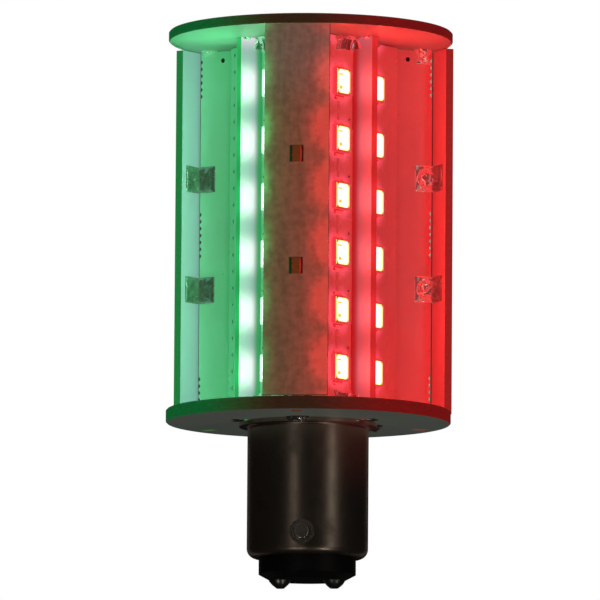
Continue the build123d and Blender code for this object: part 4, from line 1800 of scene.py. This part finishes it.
    def _wing(self, sculpture: Sculpture, seat: Seat, seed: float) -> None:
        """Build the skin of a board's joint that runs out over the fin, with a ridge at its rim."""

        def outline(u: float, v: float) -> Flat:
            """Quarter of an arch, with its corner where board, fin and disc meet."""
            s = (v + 1) / 2
            reach = self.wing_reach * (u + 1) / 2
            return (reach * (0.35 + 0.65 * math.sqrt(s)), self.wing_drop * s)

        def height(u: float, v: float) -> float:
            """Hollow skin, thick in the corner and at the rim."""
            t, s = (u + 1) / 2, (v + 1) / 2
            ridge = 0.26 * math.exp(-(((t - 0.85) / 0.13) ** 2))
            root = 0.30 * (1 - t) ** 2 + 0.35 * (1 - s) ** 2.2
            edge = max(0.0, 1 - t**10) ** 0.5
            wrinkle = 0.06 * ripple(Vector((u, v, seed)), 0.4, seed)
            return MM * (0.03 + edge * (ridge + root + wrinkle))

        # The rim and the corner root take bright solder with much painted sector light, a painted
        # highlight; the rest darker tinned metal with little.
        sculpture.mound(seat, outline, height, 14, lambda u, v: 0 if u > 0.4 or v < -0.5 else 1)

    def _solder_radii(self, node: str, side: str) -> tuple[float, float]:
        """Radii between which a group of joints lies, seen along one of its walls."""
        azimuth = BAFFLES[side] if node == "baffle_solder" else SECTORS[side].azimuth
        direction, square = outward(azimuth), sideways(azimuth)
        reach = [
            vertex.co.dot(direction)
            for vertex in self.model.nodes[node].data.vertices
            if abs(vertex.co.dot(square)) < 1.6 * MM and vertex.co.dot(direction) > 0
        ]
        return min(reach), max(reach)

    def _wall_ends(
        self, azimuth: float, radius: float, half_t: float
    ) -> Iterable[tuple[int, Seat]]:
        """Frames at both ends of both faces of a wall that stands along a radius.

        Args:
            azimuth: Azimuth of the wall.
            radius: Distance of the frames from the axis.
            half_t: Half of the wall's thickness.

        Returns:
            Which face, and the frame on it.
        """
        for side in (-1, 1):
            out = sideways(azimuth) * side
            middle = outward(azimuth) * radius + out * half_t
            for seat in self._ends(middle, outward(azimuth), out):
                yield side, seat

    def _ends(self, middle: Vector, across: Vector, out: Vector) -> Iterable[Seat]:
        """Frames at a wall's foot on the bottom disc, and at its head under the top disc."""
        floor = self.model.span("bottom_disc", UP)[1]
        ceiling = self.model.span("top_disc", UP)[0]
        yield Seat(middle + UP * ceiling, across, -UP, out)
        yield Seat(middle + UP * floor, across, UP, out)

    def build_under_joints(self) -> None:
        """Build the lumps under the bottom disc: at the cap's flange and at the fins' tabs."""
        sculpture = Sculpture()
        under = self.model.span("bottom_disc", UP)[0]
        flange_r = self.model.span("base_shell", outward(0))[1]
        for number, azimuth in enumerate((-3, 110, 230)):
            middle = outward(azimuth) * (flange_r - 0.1 * MM) + UP * under
            seat = Seat(middle, sideways(azimuth), outward(azimuth), -UP)
            self._flange_lump(sculpture, seat, number)
        sculpture.piece("flange_joints", self.metals, "solder", ["flange_solder"], 60)
        sculpture = Sculpture()
        tabs = [vertex.co.xy.length for vertex in self.model.nodes["fin_tab_solder"].data.vertices]
        low, high = min(tabs), max(tabs)
        for light in SECTORS.values():
            azimuth = light.azimuth
            middle = outward(azimuth) * (low + high) / 2 + UP * under
            seat = Seat(middle, outward(azimuth), sideways(azimuth), -UP)

            def height(u: float, v: float, seed: float = azimuth) -> float:
                """Low lump over the tab's end."""
                inside = max(0.0, 1 - abs(u) ** 3) * max(0.0, 1 - abs(v) ** 3)
                wrinkle = 1 + 0.2 * noise.noise(Vector((2 * u, 2 * v, seed)))
                return 0.24 * MM * inside**0.5 * wrinkle

            sculpture.mound(seat, soft_square((high - low) / 2, self.tab_half, 0.6), height, 10)
        sculpture.piece("fin_tab_joints", self.metals, "solder", ["fin_tab_solder"], 60)

    def _flange_lump(self, sculpture: Sculpture, seat: Seat, number: int) -> None:
        """Build one lump that ties the flange to the bottom disc."""

        def height(u: float, v: float) -> float:
            """Torn, glossy lump, highest over the flange's edge."""
            inside = max(0.0, 1 - u * u) * max(0.0, 1 - v * v)
            wave = ripple(Vector((u, v, number)), 0.45, number)
            wave += 0.5 * ripple(Vector((u, v, 5)), 0.2, number)
            return MM * inside**0.45 * max(0.06, 0.62 - 0.42 * v * v + 0.30 * wave)

        sculpture.mound(seat, disc_outline(*self.flange_half), height, 22)

    def build_lead_joints(self) -> None:
        """Build the cones of solder round the two supply leads."""
        sculpture = Sculpture()
        floor = self.model.span("bottom_disc", UP)[1]
        low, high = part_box("lead_solder")
        rise = high.z - floor
        radius = (high.y - low.y) / 2
        for x in (low.x + radius, high.x - radius):
            centre = Vector((x, (low.y + high.y) / 2, floor))
            rings = []
            for share in (0.0, 0.12, 0.3, 0.55, 0.8, 1.0):
                reach = radius * (0.56 + 0.44 * (1 - share) ** 2.4)
                ring = []
                for x_off, y_off in circle(reach, 20):
                    wrinkle = 1 + 0.03 * noise.noise(Vector((x_off, y_off, share)) * 900)
                    ring.append(centre + Vector((x_off, y_off, rise * share)) * wrinkle)
                rings.append(ring)
            sculpture.loft(rings)
        sculpture.piece("lead_joints", self.metals, "solder", ["lead_solder"], 60)


@dataclass
class BayonetCap:
    """The plated cap with its pins, insulator and contacts.

    Attributes:
        model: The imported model.
        contact_profile: Height and width of each ring of a contact, as shares of its halves.
        contact_sides: Facets round a contact.
    """

    model: Model
    contact_profile: tuple[Flat, ...] = (
        (1.0, 0.97), (0.0, 1.0), (-0.25, 0.96), (-0.5, 0.86), (-0.75, 0.66), (-1.0, 0.34)
    )
    contact_sides: int = 11

    def dress(self) -> None:
        """Give the cap's pieces their finishes."""
        top = self.model.span("base_shell", UP)[1]
        shell = CapFinish(Metal.CAP, (1.0, 1.0, 0.16), worn=0.30, suffix="_shell", top=top)
        self.model.dress("base_shell", shell.material())
        pin = MetalFinish(Metal.PIN, worn=0.25).material()
        for name in ("lower_bayonet_pin", "upper_bayonet_pin"):
            self.model.dress(name, pin)
        self.model.dress("base_insulator", MouldedFinish(Moulded.INSULATOR).material())
        self.model.dress("port_supply_lead", MouldedFinish(Moulded.LEAD_RED).material())
        self.model.dress("starboard_supply_lead", MouldedFinish(Moulded.LEAD_BLACK).material())

    def build_contacts(self) -> None:
        """Build the two end contacts as lumps of solder, filed a little flat."""
        metal = MetalFinish(Metal.CONTACT, worn=0.6, tarnish=(0.05, 0.048, 0.045)).material()
        for seed, name in enumerate(("port_contact", "starboard_contact")):
            low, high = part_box(name)
            centre, half = (low + high) / 2, (high - low) / 2
            sculpture = Sculpture()
            rings = []
            for share, width in self.contact_profile:
                ring = []
                for x, y in circle(1.0, self.contact_sides):
                    wrinkle = 0.10 * ripple(Vector((x, y, share)), 0.8, seed + 3.5) - 0.05
                    reach = width * (1 + wrinkle * (share < 0))
                    level = Vector((x * half.x, y * half.y, 0)) * reach
                    ring.append(centre + level + UP * half.z * share)
                rings.append(ring)
            sculpture.loft(rings, smooth=False)
            sculpture.piece(f"{name}_lump", [metal], "solder", [name])


@dataclass
class Driver:
    """The driver board inside the triangle of LED boards.

    Attributes:
        model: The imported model.
        wire_r: Radius of the choke's wire.
    """

    model: Model
    wire_r: float = 0.16 * MM

    def dress(self) -> None:
        """Give the driver's pieces their finishes."""
        board = MaskedBoard("driver_mask", outward(0), mask=(0.02, 0.10, 0.045), glow=0.0)
        self.model.dress("driver_board", board.material())
        self.model.dress("driver_choke", MouldedFinish(Moulded.FERRITE).material())
        self.model.dress("input_capacitor", MetalFinish(Metal.CAN, worn=0.1).material())
        chip = MouldedFinish(Moulded.CHIP).material()
        for name in ("driver_chip", "bridge_rectifier"):
            self.model.dress(name, chip)
        self.model.dress("sense_resistors", MouldedFinish(Moulded.RESISTOR).material())
        self.model.dress("filter_capacitors", MouldedFinish(Moulded.CERAMIC).material())

    def build_winding(self) -> None:
        """Build the copper winding between the choke's flanges."""
        low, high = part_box("driver_choke")
        centre = (low + high) / 2
        depth = high.y - low.y
        start = Vector((centre.x, low.y + depth / 5, centre.z))
        seat = Seat(start, Vector((1, 0, 0)), UP, Vector((0, 1, 0)))
        radius = (high.x - low.x) / 2 - 0.35 * MM
        wire = self.wire_r
        turns = int(depth * 3 / 5 / (2 * wire))
        sculpture = Sculpture()
        for turn in range(turns):
            middle = wire + 2 * wire * turn
            rings = []
            for angle in (math.tau * k / 8 for k in range(9)):
                depth_in = middle + wire * math.sin(angle)
                points = circle(radius + wire * math.cos(angle))
                rings.append([seat.at(px, py, depth_in) for px, py in points])
            sculpture.loft(rings)
        copper = MetalFinish(Metal.COPPER, worn=0.1)
        sculpture.piece("choke_winding", [copper.material()], "ferrite", (), 60)


# ---- studio ----------------------------------------------------------------------------------
@dataclass(frozen=True)
class Panel:
    """One softbox that faces the lamp.

    Attributes:
        name: The light's name.
        turn: Degrees from the camera, towards port.
        distance: Level distance from the axis.
        height: Height of its middle.
        size: Width and height.
        radiance: Brightness of its surface.
    """

    name: str
    turn: float
    distance: float
    height: float
    size: Flat
    radiance: float


PANELS: tuple[Panel, ...] = (
    Panel("left_strip", -26, 0.6, 0.0, (0.085, 0.9), 0.26),
    Panel("right_strip", 46.5, 0.6, 0.0, (0.120, 0.9), 0.33),
    Panel("left_low", -27, 0.5, -0.62, (0.10, 0.12), 2.6),
    Panel("right_low", 45, 0.5, -0.62, (0.10, 0.12), 3.0),
    Panel("back_left_strip", 155, 0.6, 0.0, (0.085, 0.9), 0.10),
    Panel("back_right_strip", -155, 0.6, 0.0, (0.085, 0.9), 0.10),
    Panel("overhead", 0, 0.01, 1.0, (0.4, 0.4), 3.0),
    Panel("top_panel", -20, 0.55, 0.75, (0.35, 0.35), 0.12),
)


@dataclass
class Studio:
    """Floor, backdrop, soft light and camera.

    Attributes:
        azimuth: Camera's azimuth in degrees.
        distance: Camera's distance from the axis.
        camera_z: Camera's height.
        lens: Focal length in millimetres.
        aim: Height on the axis that the camera aims at.
        offset: How far it aims to the starboard side of the axis.
        roll: Turn about the view direction, in degrees.
        panel_aim: Height on the axis that the panels face.
        panel_colour: Colour of their light.
        room_colour: Colour of the dim room.
        room_strength: Brightness of the room.
        floor_r: Radius of the floor.
        floor_z: Its height.
        dome_r: Radius of the backdrop.
    """

    azimuth: float = 5.4
    distance: float = 1.3
    camera_z: float = -0.125
    lens: float = 630.0
    aim: float = 29.7 * MM
    offset: float = 1.13 * MM
    roll: float = 0.4
    panel_aim: float = 20 * MM
    panel_colour: Colour = (1.0, 0.93, 0.84)
    room_colour: Colour = (1.0, 0.97, 0.93)
    room_strength: float = 0.007
    floor_r: float = 2.4
    floor_z: float = -1.45
    dome_r: float = 2.5

    def build(self) -> None:
        """Build the whole studio."""
        self.build_camera()
        self.build_backdrop()
        self.build_lights()

    def build_camera(self) -> None:
        """Place the camera."""
        data = bpy.data.cameras.new("camera")
        data.lens = self.lens
        data.clip_start, data.clip_end = 0.1, 10.0
        camera = bpy.data.objects.new("camera", data)
        camera.location = outward(self.azimuth) * self.distance + UP * self.camera_z
        target = UP * self.aim - sideways(self.azimuth) * self.offset
        camera.rotation_mode = "QUATERNION"
        roll = Quaternion((0, 0, 1), math.radians(self.roll))
        camera.rotation_quaternion = (target - camera.location).to_track_quat("-Z", "Y") @ roll
        bpy.context.scene.collection.objects.link(camera)
        bpy.context.scene.camera = camera

    def build_backdrop(self) -> None:
        """Build a white dome and a pale floor that only the camera sees."""
        floor = Sculpture()
        floor.loft([
            [Vector((x, y, self.floor_z + lift)) for x, y in circle(self.floor_r, 64)]
            for lift in (-0.01, 0.0)
        ], smooth=False)
        self._stage(floor, "floor", (0.94, 0.94, 0.93))
        dome, bands = Sculpture(), 24
        tilts = [math.pi * band / bands - math.pi / 2 for band in range(1, bands)]
        levels = ((self.dome_r * math.cos(tilt), self.dome_r * math.sin(tilt)) for tilt in tilts)
        dome.loft([[Vector((x, y, z)) for x, y in circle(radius, 48)] for radius, z in levels])
        self._stage(dome, "backdrop", (1.0, 1.0, 1.0))

    @staticmethod
    def _stage(sculpture: Sculpture, name: str, colour: Colour) -> None:
        """Turn a mesh into a part of the stage that lights nothing."""
        data = bpy.data.meshes.new(name)
        sculpture.mesh.to_mesh(data)
        sculpture.mesh.free()
        graph = Graph(f"{name}_white")
        grain = graph.cloud(0.2, 2)
        shade = tuple(0.985 * part for part in colour)
        tone = graph.mix(grain, colour, shade) if name == "floor" else (*colour, 1)
        light = graph.node("ShaderNodeEmission", inputs={"Color": tone, "Strength": 1.0})
        data.materials.append(graph.close(light))
        made = bpy.data.objects.new(name, data)
        for ray in ("diffuse", "glossy", "transmission", "volume_scatter", "shadow"):
            setattr(made, f"visible_{ray}", False)
        bpy.context.scene.collection.objects.link(made)
        made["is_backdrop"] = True

    def build_lights(self) -> None:
        """Light the lamp softly: a dim room, tall strips, two low panels and two from above."""
        world = bpy.data.worlds.new("room")
        world.use_nodes = True
        background = world.node_tree.nodes["Background"]
        background.inputs["Color"].default_value = (*self.room_colour, 1)
        background.inputs["Strength"].default_value = self.room_strength
        bpy.context.scene.world = world
        for panel in PANELS:
            place = outward(self.azimuth + panel.turn) * panel.distance + UP * panel.height
            aim = UP * self.panel_aim - place
            area_light(panel.name, place, aim, panel.size, self.panel_colour, panel.radiance)

    @staticmethod
    def set_tone() -> None:
        """Show colours as they are, without a film curve."""
        view = bpy.context.scene.view_settings
        view.view_transform = "Standard"
        view.look = "None"


def main() -> None:
    """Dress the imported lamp, build its fine pieces and set up the studio."""
    logging.basicConfig(level=logging.INFO, format="%(name)s: %(message)s")
    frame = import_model()
    cad_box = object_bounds()
    model = Model(frame)
    modules = [LedModule(model, side) for side in SECTORS]
    for module in modules:
        module.build()
        module.dress()
    enclosure = Enclosure(model, modules[0])
    enclosure.dress()
    enclosure.build_plugs()
    Solderwork(model).build()
    cap = BayonetCap(model)
    cap.dress()
    cap.build_contacts()
    driver = Driver(model)
    driver.dress()
    driver.build_winding()
    studio = Studio()
    studio.build()
    studio.set_tone()
    boxes = {"cad": cad_box, "visual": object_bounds()}
    {name: [list(corner) for corner in box] for name, box in boxes.items()}


if __name__ == "__main__":
    main()
